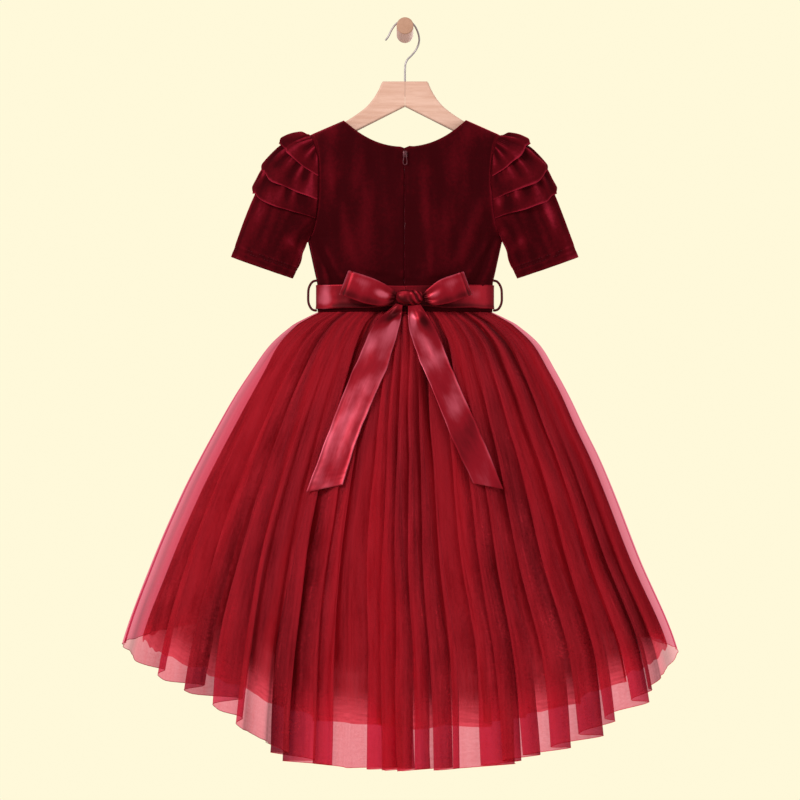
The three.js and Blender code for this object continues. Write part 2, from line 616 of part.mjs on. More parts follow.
// Hook of the hanger: up from the plate, round over the peg and down to its tip.
function hook() {
  const overPegZ = peg.radius + seamGap + wire.radius + 0.2;
  const route = [
    { x: 0, z: hanger.plateTopZ - hanger.drillDepth + 0.5 }, { x: 0, z: hanger.plateTopZ }, { x: 0, z: -58 },
    { x: 0.8, z: -48 }, { x: 3.6, z: -42 }, { x: 8, z: -37.5 }, { x: 13, z: -32 }, { x: 17.2, z: -25 },
    { x: 19.8, z: -17 }, { x: 19.4, z: -9 }, { x: 16.6, z: -0.5 }, { x: 12.4, z: 6.6 }, { x: 6.6, z: 11.6 },
    { x: 0, z: overPegZ }, { x: -7, z: 11.6 }, { x: -13.2, z: 7 }, { x: -17.6, z: 1.4 }, { x: -21, z: -5 },
    { x: -24, z: -11 }, { x: -27.6, z: -15.4 },
  ];
  return bar(route.map(({ x, z }) => point(x, hangPlaneY, z)), wire.radius, wire.sides, wire.steps);
}

function wallPeg() {
  const { radius, length, edge } = peg;
  const profile = [[0, 0], [radius, 0], [radius, length - edge], [radius - edge, length], [0, length]];
  const turned = new THREE.LatheGeometry(profile.map(([out, along]) => new THREE.Vector2(out, along)), 24);
  return turned.rotateX(Math.PI);
}

function hangerHalf(side) {
  const { plateHalfWidth, plateTopZ, crotchZ, tipX, thick, drillDepth } = hanger;
  const upper = new THREE.SplineCurve(
    [
      [plateHalfWidth, plateTopZ], [36, -83], [43.5, -96], [52.5, -107], [62.4, -115.4], [76.7, -125.1],
      [90, -133.1], [110, -142.1], [tipX - 4, -150.1],
    ].map(([x, z]) => new THREE.Vector2(x, z)),
  );
  const bevel = 2.5;
  const shape = new THREE.Shape();
  shape.moveTo(seamGap / 2, plateTopZ);
  upper.getPoints(16).forEach(({ x, y }) => shape.lineTo(x, y));
  shape.quadraticCurveTo(tipX + 1.4, -153.6, tipX - 3, -162);
  shape.lineTo(67.5, -142);
  shape.lineTo(seamGap / 2, crotchZ);
  shape.closePath();
  const solid = new THREE.ExtrudeGeometry(shape, {
    depth: thick - 2 * bevel, curveSegments: 4, bevelEnabled: true,
    bevelThickness: bevel, bevelSize: 1, bevelOffset: -1, bevelSegments: 2,
  });
  solid.translate(0, 0, -(thick / 2 - bevel)).rotateX(Math.PI / 2).translate(0, hangPlaneY, 0);
  const flush = solid.attributes.position;
  for (let i = 0; i < flush.count; i += 1) if (flush.getX(i) < 1.6) flush.setX(i, seamGap / 2);
  const drillRadius = wire.radius + seamGap;
  const drill = new THREE.CylinderGeometry(drillRadius, drillRadius, 2 * drillDepth, 12);
  drill.rotateX(Math.PI / 2).translate(0, hangPlaneY, plateTopZ);
  const half = solidOf(solid).subtract(solidOf(drill));
  const geometry = geometryOf(half);
  return side < 0 ? mirrored(geometry) : geometry;
}

// The zip: a tape behind the middle back seam, the slider on it and the pull that hangs from the slider.
function zipTape() {
  const pointAt = (across, rise) => {
    const { depth, z } = bodicePoint(0, rise, { neckZ: bodice.backNeckZ, halfGap: 0 });
    const dip = Math.abs(across) * 0.5;
    return point(across * zip.tapeHalfWidth, hangPlaneY - depth + seamGap + zip.tapeThick + dip, z);
  };
  return faceOut(
    clothWall({
      across: [-1, 0, 1],
      down: [0.01, 0.375, 0.54, 0.77, 1, 1.17, 1.34, 1.49],
      thick: zip.tapeThick,
      pointAt,
      outward: () => point(0, -1, 0),
    }),
  );
}

// How far up the bodice panel's rows a height lies, along the middle of the back.
function riseAt(z) {
  if (z <= bodice.underarmZ) return (z - bodice.hemZ) / (bodice.underarmZ - bodice.hemZ);
  return 1 + (z - bodice.underarmZ) / (bodice.backNeckZ - bodice.underarmZ) / 2;
}

const backSurfaceY = (z) =>
  hangPlaneY - bodicePoint(0, riseAt(z), { neckZ: bodice.backNeckZ, halfGap: 0 }).depth - velvetThick;

// The slider's body lies against the bodice's back; its bridge arches over the body from top to bottom.
const sliderBackY = backSurfaceY(zip.sliderZ - slider.height / 2) - seamGap;

function zipSlider() {
  const { halfWidth, height, thick, bridge } = slider;
  const body = new THREE.BoxGeometry(2 * halfWidth, thick, height);
  body.translate(0, sliderBackY - thick / 2, zip.sliderZ);
  const standOff = thick + bridge.clear + bridge.thick;
  const legY = sliderBackY - (standOff + thick - bridge.legOverlap) / 2;
  const legs = [-1, 1].map((end) => {
    const leg = new THREE.BoxGeometry(bridge.wide, standOff - thick + bridge.legOverlap, bridge.thick);
    return leg.translate(0, legY, zip.sliderZ + (end * (bridge.length - bridge.thick)) / 2);
  });
  const span = new THREE.BoxGeometry(bridge.wide, bridge.thick, bridge.length);
  span.translate(0, sliderBackY - standOff + bridge.thick / 2, zip.sliderZ);
  return geometryOf([body, ...legs, span].map(solidOf).reduce((whole, part) => whole.add(part)));
}

// The pull is a flat teardrop ring: its top rim lies under the bridge, and it swings about that rim.
const pullAxis = point(0, sliderBackY - slider.thick - slider.bridge.clear / 2, zip.sliderZ);

function teardrop({ top, topHalf, widest, halfWidth }) {
  const shoulder = [topHalf + 0.5, top - 0.9];
  const flank = new THREE.CubicBezierCurve(
    new THREE.Vector2(topHalf, top), new THREE.Vector2(...shoulder),
    new THREE.Vector2(halfWidth, widest + 6), new THREE.Vector2(halfWidth, widest),
  ).getPoints(5);
  const foot = steps(0, -Math.PI, 8).slice(1, 8);
  const half = flank.map(({ x, y }) => [x, y]);
  const round = foot.map((a) => [halfWidth * Math.cos(a), widest + halfWidth * Math.sin(a)]);
  const ring = [...half, ...round, ...half.map(([x, y]) => [-x, y]).reverse()];
  return ring.map(([x, y]) => new THREE.Vector2(x, y));
}

function zipPull() {
  const { rim, thick, halfWidth, length } = pull;
  const widest = rim / 2 - length + halfWidth;
  const outline = new THREE.Shape(teardrop({ top: rim / 2, topHalf: 1.2, widest, halfWidth }));
  const hollow = teardrop({ top: -rim / 2, topHalf: 0.9, widest, halfWidth: halfWidth - rim });
  outline.holes.push(new THREE.Path(hollow.reverse()));
  const tab = new THREE.ExtrudeGeometry(outline, { depth: thick, curveSegments: 5, bevelEnabled: false });
  return merged(tab.translate(0, 0, -thick / 2).rotateX(Math.PI / 2));
}

// Solids of manifold-3d, for the drilled wood and the slider.
function merged(geometry) {
  const bare = geometry.clone();
  bare.deleteAttribute("normal");
  bare.deleteAttribute("uv");
  return mergeVertices(bare, 1e-4);
}

function solidOf(geometry) {
  const clean = merged(geometry);
  return new wasm.Manifold(
    new wasm.Mesh({
      numProp: 3,
      vertProperties: new Float32Array(clean.attributes.position.array),
      triVerts: new Uint32Array(clean.index.array),
    }),
  );
}

function geometryOf(solid) {
  const mesh = solid.getMesh();
  const geometry = new THREE.BufferGeometry();
  geometry.setAttribute("position", new THREE.BufferAttribute(mesh.vertProperties, 3));
  geometry.setIndex(new THREE.BufferAttribute(mesh.triVerts, 1));
  return geometry;
}

function mirrored(geometry) {
  const copy = geometry.clone().scale(-1, 1, 1);
  return faceOut(copy);
}

// The whole, sub-part by sub-part
const dress = new THREE.Group();

function piece(name, geometry, material, parent = dress) {
  const mesh = new THREE.Mesh(geometry, material);
  mesh.name = name;
  parent.add(mesh);
  return mesh;
}

piece("wall_peg", wallPeg(), colours.wood);
piece("hanger_hook", hook(), colours.steel);
for (const [name, side] of [["left", -1], ["right", 1]]) {
  piece(`hanger_half_${name}`, hangerHalf(side), colours.wood);
  const back = { face: -1, side, neckZ: bodice.backNeckZ, halfGap: seamGap / 2 };
  piece(`bodice_back_${name}`, bodiceHalf(back), colours.velvet);
  piece(`sleeve_${name}`, sleeve(side), colours.velvet);
  for (const row of frills) piece(`sleeve_${name}_frill_${row.name}`, frill(side, row), colours.velvet);
  piece(`belt_loop_${name}`, beltLoopBar(side), colours.velvet);
}
piece("bodice_front", bodiceFront(), colours.velvet);

for (const layer of skirtLayers) {
  const cloth = layer.name === "lining" ? colours.liningCloth : colours.tulle;
  piece(`skirt_${layer.name}_back`, skirtPanel(layer, -1), cloth);
  piece(`skirt_${layer.name}_front`, skirtPanel(layer, 1), cloth);
}

piece("sash_band", sashBand(), colours.satin);
for (const row of bowLoops) piece(row.name, bowLoop(row), colours.satin);
piece("bow_knot", bowKnot(), colours.satin);
for (const row of bowTails) piece(row.name, bowTail(row), colours.satin);

piece("zip_tape", zipTape(), colours.velvet);
piece("zip_slider", zipSlider(), colours.zipMetal);
const hangingPull = piece("zip_pull", zipPull(), colours.zipMetal);
hangingPull.position.copy(pullAxis);

export default dress;
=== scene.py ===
# A toddler's party dress, its back turned to the viewer, on a wooden hanger that hangs on a wall peg.
# The frame's own places are used: the peg's back face is the origin, and the dress hangs on the -Y side.
from math import asin, atan2, copysign, cos, exp, pi, radians, sin, sqrt

import bmesh
import bpy
from mathutils import Matrix, Vector, noise


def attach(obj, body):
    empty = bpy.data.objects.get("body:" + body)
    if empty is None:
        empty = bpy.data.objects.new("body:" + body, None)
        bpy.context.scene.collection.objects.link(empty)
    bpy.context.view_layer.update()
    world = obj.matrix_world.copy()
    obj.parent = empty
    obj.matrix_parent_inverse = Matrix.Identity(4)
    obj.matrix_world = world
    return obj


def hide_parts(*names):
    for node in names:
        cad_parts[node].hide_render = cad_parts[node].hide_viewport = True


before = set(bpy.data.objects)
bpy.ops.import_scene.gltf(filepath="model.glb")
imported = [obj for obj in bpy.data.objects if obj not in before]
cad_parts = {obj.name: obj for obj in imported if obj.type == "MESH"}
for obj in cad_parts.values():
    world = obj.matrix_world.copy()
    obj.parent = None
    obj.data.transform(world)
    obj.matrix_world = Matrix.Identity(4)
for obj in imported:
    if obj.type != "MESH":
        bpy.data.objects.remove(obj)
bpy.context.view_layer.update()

print("frame loaded")

mm = 0.001
hangPlaneY = -40  # millimetres, as every size below
seamGap = 0.3
weldDistance = 2e-6  # metres
backwards, forwards, upwards = Vector((0, -1, 0)), Vector((0, 1, 0)), Vector((0, 0, 1))  # as the wearer faces


# Small sums

def mixed(a, b, t):
    return a + (b - a) * t


def clamped(value, low=0.0, high=1.0):
    return min(max(value, low), high)


def eased(value, low, high):
    t = clamped((value - low) / (high - low))
    return t * t * (3 - 2 * t)


def squarer(value, power):
    # A sine or cosine made fuller, so that a round turns squarer.
    return copysign(abs(value) ** power, value)


def ridge(value, middle, width):
    return exp(-(((value - middle) / width) ** 2))


def swell(turn):
    return 0.5 - 0.5 * cos(turn)  # from 0 to 1 and back in a full turn


def wander(x, y=0.0, z=0.0):
    return noise.noise(Vector((x, y, z)))  # smooth, from -1 to 1


def rowsOf(columns, *rows):
    names = columns.split()
    return [dict(zip(names, row)) for row in rows]


def glintsAt(glints, along, across):
    # Painted highlights as soft bright spots, or painted shade where lit is below 0.
    total = 0
    for row in glints:
        lit = row["lit"] * ridge(along, row["along"], row["long"])
        total += lit * ridge(across, row["across"], row["wide"])
    return total


def tableAt(rows, place, column):
    # A column of a table at a place between its rows, smooth through them. The first column is the place.
    key = next(iter(rows[0]))
    last = len(rows) - 1
    if place <= rows[0][key]:
        return rows[0][column]
    if place >= rows[last][key]:
        return rows[last][column]
    i = next(n for n in range(last) if place < rows[n + 1][key])
    a, b = rows[i], rows[i + 1]
    span = b[key] - a[key]

    def slope(n):
        before, after = rows[max(n - 1, 0)], rows[min(n + 1, last)]
        return (after[column] - before[column]) / (after[key] - before[key])

    t = (place - a[key]) / span
    t2, t3 = t * t, t * t * t
    return (
        (2 * t3 - 3 * t2 + 1) * a[column] + (t3 - 2 * t2 + t) * span * slope(i)
        + (3 * t2 - 2 * t3) * b[column] + (t3 - t2) * span * slope(i + 1)
    )


# Meshes. A sheet is a flat grid that is carried onto its form: u runs across it and v down it, both 0 to 1.

def newMesh():
    bm = bmesh.new()
    bm.verts.layers.float.new("tone")
    bm.verts.layers.float_vector.new("cloth")
    return bm


def addSheet(bm, columns, rows, pointAt, size=(1, 1), toneAt=None):
    tone, cloth = bm.verts.layers.float["tone"], bm.verts.layers.float_vector["cloth"]
    grid = bmesh.ops.create_grid(bm, x_segments=columns, y_segments=rows, size=0.5)
    for vert in grid["verts"]:
        u, v = vert.co.x + 0.5, 0.5 - vert.co.y
        vert[cloth] = (u * size[0] * mm, v * size[1] * mm, 0)
        vert[tone] = toneAt(u, v) if toneAt else 0
        vert.co = pointAt(u, v) * mm


def routeThrough(points):
    # A smooth route through points, by the share of its length.
    rows, gone = [], 0
    for i, point in enumerate(points):
        if i:
            gone += (Vector(point) - Vector(points[i - 1])).length
        rows.append({"at": gone, "x": point[0], "y": point[1], "z": point[2]})

    def place(share):
        return Vector([tableAt(rows, share * gone, axis) for axis in "xyz"])

    return place, gone


def directionAt(place, v, step):
    return (place(min(v + step, 1)) - place(max(v - step, 0))).normalized()


def addBar(bm, place, length, radius, columns, rows):
    # A round bar along a route, with domed ends.
    def pointAt(u, v):
        along = directionAt(place, v, 0.002)
        side = along.cross(Vector((0, 1, 0)) if abs(along.y) < 0.9 else Vector((1, 0, 0))).normalized()
        up = side.cross(along)
        left = min(v, 1 - v) * length / radius
        here = radius * sqrt(clamped(1 - (1 - min(left, 1)) ** 2))
        return place(v) + (side * cos(2 * pi * u) + up * sin(2 * pi * u)) * here

    addSheet(bm, columns, rows, pointAt, size=(2 * pi * radius, length))


def finishPiece(
    name, bm, material, slot, nodes=(), outward=None, weld=False, thick=0, body="garment", smooth=True,
):
    # outward gives the way a face at a place should look; thick is the wall, grown outwards.
    if weld:
        bmesh.ops.remove_doubles(bm, verts=bm.verts[:], dist=weldDistance)
    if weld or outward is None:
        bmesh.ops.recalc_face_normals(bm, faces=bm.faces[:])
    if outward is not None:
        vote = sum(f.normal.dot(outward(f.calc_center_median() / mm)) * f.calc_area() for f in bm.faces)
        if vote < 0:
            bmesh.ops.reverse_faces(bm, faces=bm.faces[:])
    area = sum(f.calc_area() for f in bm.faces)
    mesh = bpy.data.meshes.new(name)
    bm.to_mesh(mesh)
    bm.free()
    if smooth:
        mesh.shade_smooth()
    piece = bpy.data.objects.new(name, mesh)
    bpy.context.collection.objects.link(piece)
    piece.data.materials.append(material)
    if thick:
        wall = piece.modifiers.new("wall", "SOLIDIFY")
        wall.thickness = thick * mm
        wall.offset = 1
    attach(piece, body)
    if nodes:
        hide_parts(*nodes)
    print(f"{name}: {len(mesh.polygons)} faces, {area:.4f} m2")
    return piece


# Shaders. A Flow is a socket that takes part in ordinary sums.

class Flow:
    def __init__(self, shader, socket):
        self.shader = shader
        self.socket = socket

    def maths(self, operation, *values):
        return self.shader.node("ShaderNodeMath", {"operation": operation}, dict(enumerate(values)))

    def __add__(self, other):
        return self.maths("ADD", self, other)

    __radd__ = __add__

    def __sub__(self, other):
        return self.maths("SUBTRACT", self, other)

    def __rsub__(self, other):
        return self.maths("SUBTRACT", other, self)

    def __mul__(self, other):
        return self.maths("MULTIPLY", self, other)

    __rmul__ = __mul__

    def __pow__(self, other):
        return self.maths("POWER", self, other)

    def sine(self):
        return self.maths("SINE", self)

    def clamp(self):
        return self.shader.node("ShaderNodeClamp", {}, {"Value": self})

    def between(self, low, high):
        settings = {"interpolation_type": "SMOOTHSTEP"}
        return self.shader.node("ShaderNodeMapRange", settings, {0: self, 1: low, 2: high, 3: 0.0, 4: 1.0})


class Shader:
    def __init__(self, name, uniform):
        self.material = bpy.data.materials.new(name)
        self.material.use_nodes = True
        self.tree = self.material.node_tree
        self.main = self.tree.nodes["Principled BSDF"]
        self.end = self.tree.nodes["Material Output"]
        for socket, value in uniform.items():
            self.main.inputs[socket].default_value = value

    def node(self, kind, settings, values, output=0):
        made = self.tree.nodes.new(kind)
        for key, value in settings.items():
            setattr(made, key, value)
        for key, value in values.items():
            self.feed(made.inputs[key], value)
        return Flow(self, made.outputs[output])

    def feed(self, socket, value):
        if isinstance(value, Flow):
            self.tree.links.new(value.socket, socket)
        else:
            socket.default_value = value

    def paint(self, socket, value):
        self.feed(self.main.inputs[socket], value)

    def objectPlace(self):
        return self.node("ShaderNodeTexCoord", {}, {}, "Object")

    def attribute(self, name, output):
        return self.node("ShaderNodeAttribute", {"attribute_name": name}, {}, output)

    def stretched(self, place, x, y, z):
        return self.node("ShaderNodeVectorMath", {"operation": "MULTIPLY"}, {0: place, 1: (x, y, z)})

    def parts(self, place):
        split = self.node("ShaderNodeSeparateXYZ", {}, {0: place})
        return [Flow(self, out) for out in split.socket.node.outputs]

    def clouds(self, place, scale, detail=2.0, roughness=0.5):
        values = {"Vector": place, "Scale": scale, "Detail": detail, "Roughness": roughness}
        return self.node("ShaderNodeTexNoise", {}, values)

    def blend(self, share, a, b):
        settings = {"data_type": "RGBA", "clamp_factor": True}
        a, b = ((*colour, 1) if isinstance(colour, tuple) else colour for colour in (a, b))
        return self.node("ShaderNodeMix", settings, {0: share, 6: a, 7: b}, 2)

    def relief(self, height, distance, strength=1.0):
        values = {"Height": height, "Distance": distance, "Strength": strength}
        self.paint("Normal", self.node("ShaderNodeBump", {}, values))

    def seeThrough(self, colour):
        return self.node("ShaderNodeBsdfTransparent", {}, {"Color": (*colour, 1)})

    def mixShader(self, share, a, b):
        return self.node("ShaderNodeMixShader", {}, {0: share, 1: a, 2: b})


def velvetShader():
    look = {"deep": (0.036, 0.0009, 0.0024), "mid": (0.092, 0.0020, 0.0054), "lit": (0.32, 0.013, 0.032)}
    shader = Shader("velvet", {
        "Sheen Weight": 0.9, "Sheen Roughness": 0.34, "Sheen Tint": (0.85, 0.04, 0.09, 1),
        "Specular IOR Level": 0.03,
    })
    place = shader.objectPlace()
    tone = shader.attribute("tone", "Fac")
    brushedSheen = shader.clouds(shader.stretched(place, 1, 1, 0.3), 26, 3, 0.55)
    crushed = shader.clouds(place, 210, 3, 0.65)
    # The base colour runs from shaded to lit velvet: the tone attribute carries painted highlights and
    # painted shade, the brushed streaks are pile with a painted sheen along them, and the crushed noise is
    # the pile's own mottle.
    share = (tone + (brushedSheen - 0.5) * 0.8 + (crushed - 0.5) * 0.4 + 0.3).clamp()
    base = shader.blend(share.between(0.0, 0.5), look["deep"], look["mid"])
    shader.paint("Base Color", shader.blend(share.between(0.4, 1.0), base, look["lit"]))
    shader.paint("Roughness", 0.75 + crushed * 0.2)
    pile = shader.clouds(place, 1400, 2, 0.7)
    shader.relief(pile + crushed * 1.5, 0.0004, 0.5)
    return shader.material


def tulleShader(name, look):
    # A net so fine that it only tints what is behind it: each layer lets light through and adds its own.
    shader = Shader(name, {
        "Roughness": 0.75, "Specular IOR Level": 0.05, "Sheen Weight": 0.15, "Sheen Tint": (1, 0.2, 0.26, 1),
    })
    cloth = shader.attribute("cloth", "Vector")
    tone = shader.attribute("tone", "Fac")
    streaks = shader.clouds(shader.stretched(cloth, 1, 0.035, 1), 330, 3, 0.6)
    grain = shader.clouds(shader.stretched(cloth, 1, 0.5, 1), 650, 3, 0.7)
    soft = shader.clouds(shader.stretched(cloth, 1, 0.3, 1), 38, 4, 0.6)
    # The base colour runs from the valley colour in painted shade to the ridge colour in painted light, by
    # the tone attribute; the streak noise paints fine lines of shade along the gathers, and the grain and
    # soft noise vary the net.
    share = (0.97 - tone * 0.95 + (streaks - 0.5) * 0.9 + (grain - 0.5) * 0.9 + (soft - 0.5) * 0.8).clamp()
    shader.paint("Base Color", shader.blend(share, look["valley"], look["ridge"]))
    shader.relief(streaks * 0.5 + grain * 0.5, 0.0006, 0.5)
    across, down = shader.parts(cloth)[:2]
    crinkles = shader.clouds(shader.stretched(cloth, 0.16, 1.2, 1), 210, 4, 0.65)
    low = down.between(look["fadeFrom"] * mm, look["fadeTo"] * mm)
    solidShare = look["solid"] + (streaks - 0.5) * look["streak"] + (grain - 0.5) * 0.4 + (soft - 0.5) * 0.3
    solidShare = solidShare + tone * look["folded"]
    solidShare = solidShare - low * look["fade"] + (crinkles - 0.5) * low * look["crinkle"]
    threads = Flow(shader, shader.main.outputs[0])
    net = shader.mixShader(solidShare.clamp(), shader.seeThrough(look["through"]), threads)
    # By the side seams the net lies flat and single, so it is at its clearest there.
    flatNet = 1 - across.between(0.01, 0.11) * (1.5 - across).between(0.01, 0.11) + (soft - 0.5) * 0.3
    clearest = shader.seeThrough(look["clear"])
    surface = shader.mixShader((flatNet * look["clearShare"]).clamp(), net, clearest)
    shader.feed(shader.end.inputs["Surface"], surface)
    return shader.material


def liningShader():
    look = {"deep": (0.09, 0.0005, 0.002), "lit": (0.24, 0.003, 0.008)}
    shader = Shader("lining", {"Specular IOR Level": 0.15})
    cloth = shader.attribute("cloth", "Vector")
    tone = shader.attribute("tone", "Fac")
    streaks = shader.clouds(shader.stretched(cloth, 1, 0.05, 1), 120, 3, 0.6)
    weave = shader.clouds(cloth, 1500, 1, 0.5)
    # The base colour runs from shaded to lit lining by the tone attribute, which carries the skirt's painted
    # shade; the streaks vary it along the cloth.
    share = (0.7 - tone * 0.7 + (streaks - 0.5) * 0.8).clamp()
    shader.paint("Base Color", shader.blend(share, look["deep"], look["lit"]))
    shader.paint("Roughness", 0.45 + weave * 0.2)
    down = shader.parts(cloth)[1]  # the cloth wears thin at its hem
    shader.paint("Alpha", 1 - (down + streaks * 0.02).between(0.585, 0.61) * 0.75)
    shader.relief(streaks + weave * 0.3, 0.0004, 0.5)
    return shader.material


def satinShader():
    look = {"deep": (0.065, 0.001, 0.003), "mid": (0.29, 0.006, 0.016), "lit": (0.62, 0.098, 0.15)}
    shader = Shader("satin", {
        "Specular IOR Level": 0.12, "Metallic": 0.45, "Sheen Weight": 0.04, "Sheen Tint": (1, 0.3, 0.35, 1),
    })
    cloth = shader.attribute("cloth", "Vector")
    tone = shader.attribute("tone", "Fac")
    wrinkles = shader.clouds(shader.stretched(cloth, 1, 0.7, 1), 45, 3, 0.5)
    threads = shader.clouds(shader.stretched(cloth, 1, 0.03, 1), 1300, 1, 0.5)
    # The base colour runs from shaded to lit satin: the tone attribute carries painted highlights and painted
    # shade, the wrinkle noise paints the light and shade of soft wrinkles, and the thread noise is the weave.
    share = (0.45 + tone * 0.75 + (wrinkles - 0.5) * 0.5 + (threads - 0.5) * 0.15).clamp()
    base = shader.blend(share.between(0.0, 0.55), look["deep"], look["mid"])
    shader.paint("Base Color", shader.blend(share.between(0.5, 1.0), base, look["lit"]))
    shader.paint("Roughness", 0.34 + threads * 0.14)
    shader.relief(wrinkles * 1.5 + threads * 0.1, 0.0012, 0.3)
    return shader.material


def woodShader():
    look = {"dark": (0.68, 0.39, 0.29), "pale": (0.83, 0.53, 0.425), "vein": (0.58, 0.31, 0.22)}
    shader = Shader("limed_beech", {"Specular IOR Level": 0.4, "Coat Roughness": 0.35, "Coat Weight": 0.12})
    place = shader.objectPlace()
    grain = shader.clouds(shader.stretched(place, 0.09, 1, 1), 210, 4, 0.6)
    bands = shader.clouds(shader.stretched(place, 0.12, 0.6, 1), 42, 2, 0.5)
    flecks = shader.clouds(shader.stretched(place, 0.12, 1, 1), 700, 1, 0.5)
    base = shader.blend((grain * 0.7 + bands * 0.5).between(0.42, 0.8), look["dark"], look["pale"])
    shader.paint("Base Color", shader.blend(flecks.between(0.62, 0.8) * 0.35, base, look["vein"]))
    shader.paint("Roughness", 0.42 + grain * 0.2)
    shader.relief(grain + flecks * 0.6, 0.0002, 0.4)
    return shader.material


def endGrainShader():
    look = {"dark": (0.40, 0.20, 0.125), "pale": (0.62, 0.36, 0.25), "side": (0.84, 0.52, 0.46)}
    shader = Shader("peg_beech", {"Specular IOR Level": 0.4, "Coat Weight": 0.1, "Coat Roughness": 0.35})
    place = shader.objectPlace()
    x, y, z = shader.parts(place)
    wobble = shader.clouds(shader.stretched(place, 1, 0.1, 1), 160, 3, 0.5)
    rings = ((((x + 0.004) ** 2 + (z - 0.003) ** 2) ** 0.5 * 4200) + wobble * 7).sine() * 0.5 + 0.5
    pores = shader.clouds(shader.stretched(place, 1, 0.1, 1), 1500, 1, 0.6)
    share = (rings * 0.45 + wobble * 0.6 - pores.between(0.55, 0.8) * 0.4).clamp()
    end = shader.blend(share, look["dark"], look["pale"])
    limed = y.between(-0.0692, -0.0680) * (0.75 + wobble * 0.3)  # the turned side is paler than the cut end
    shader.paint("Base Color", shader.blend(limed.clamp(), end, look["side"]))
    shader.paint("Roughness", 0.5 + wobble * 0.2)
    shader.relief(pores + rings * 0.2, 0.00005, 0.06)
    return shader.material


def steelShader():
    look = {"deep": (0.36, 0.31, 0.32), "lit": (0.50, 0.45, 0.46)}
    shader = Shader("bright_steel", {"Metallic": 1.0})
    place = shader.objectPlace()
    drawn = shader.clouds(shader.stretched(place, 1, 1, 0.2), 500, 2, 0.6)
    spots = shader.clouds(place, 90, 3, 0.6)
    shader.paint("Base Color", shader.blend(spots, look["deep"], look["lit"]))
    shader.paint("Roughness", 0.42 + drawn * 0.08)
    shader.relief(drawn, 0.00001, 0.05)
    return shader.material


def zipShader():
    look = {"deep": (0.06, 0.005, 0.012), "lit": (0.18, 0.02, 0.036)}
    shader = Shader("enamelled_zip", {"Coat Weight": 0.4, "Coat Roughness": 0.2})
    worn = shader.clouds(shader.objectPlace(), 700, 3, 0.6)
    shader.paint("Base Color", shader.blend(worn.between(0.35, 0.75), look["deep"], look["lit"]))
    shader.paint("Metallic", worn.between(0.5, 0.8) * 0.6 + 0.2)
    shader.paint("Roughness", 0.3 + worn * 0.2)
    shader.relief(worn, 0.0001, 0.3)
    return shader.material


def threadShader():
    look = {"deep": (0.045, 0.002, 0.005), "lit": (0.12, 0.007, 0.015)}
    shader = Shader("sewing_thread", {
        "Sheen Weight": 0.1, "Sheen Tint": (1, 0.3, 0.4, 1), "Specular IOR Level": 0.15,
    })
    across, along = shader.parts(shader.attribute("cloth", "Vector"))[:2]
    twist = (along * 9000 + across * 4000).sine() * 0.5 + 0.5
    shader.paint("Base Color", shader.blend(twist, look["deep"], look["lit"]))
    shader.paint("Roughness", 0.5 + twist * 0.15)
    shader.relief(twist, 0.0001, 0.6)
    return shader.material


def floorShader():
    look = {"deep": (0.86, 0.81, 0.68), "lit": (0.90, 0.85, 0.72)}
    shader = Shader("pale_floor", {"Roughness": 0.8, "Specular IOR Level": 0.2})
    patches = shader.clouds(shader.objectPlace(), 3, 2, 0.5)
    shader.paint("Base Color", shader.blend(patches, look["deep"], look["lit"]))
    return shader.material


velvet = velvetShader()
# valley and ridge are the net's colour in painted shade and in painted light.
tulleOuter = tulleShader("tulle_outer", {
    "valley": (0.09, 0.001, 0.003), "ridge": (0.56, 0.024, 0.042),
    "solid": 0.34, "streak": 0.3, "folded": 0.3,
    "through": (0.97, 0.38, 0.55), "fadeFrom": 540, "fadeTo": 600, "fade": 0.0, "crinkle": 0.3,
    "clear": (1.0, 0.66, 0.82), "clearShare": 0.62,
})
tulleInner = tulleShader("tulle_inner", {
    "valley": (0.08, 0.001, 0.002), "ridge": (0.30, 0.006, 0.012),
    "solid": 0.88, "streak": 0.3, "folded": 0.1,
    "through": (0.90, 0.25, 0.32), "fadeFrom": 550, "fadeTo": 602, "fade": 0.75, "crinkle": 1.5,
    "clear": (0.95, 0.40, 0.50), "clearShare": 0.1,
})
liningCloth = liningShader()
satin = satinShader()
wood = woodShader()
endGrain = endGrainShader()
steel = steelShader()
zipMetal = zipShader()
thread = threadShader()
print("materials made")


# Bodice. A half's rows run from the middle (0) to the side seam or armhole (1), and rise from the waist (0)
# to the underarm (1) and on to the shoulder seam (2).
bodice = {
    "neckX": 85, "neckZ": -128.5, "backNeckZ": -167, "frontNeckZ": -190, "neckCurve": 2.2, "neckDepth": 24,
    "underarmZ": -292, "chestHalfWidth": 135.5, "hemZ": -396, "chestDepth": 34, "wall": 1.4, "grid": (64, 88),
    "cloth": (135, 230),
}
armhole = {"tipX": 131, "tipZ": -148, "depth": 24, "bow": 14}
sideSections = rowsOf(
    "z halfWidth depth", (-396, 121, 30), (-357, 121.5, 30), (-340, 125, 31.5), (-292, 135.5, 34),
)
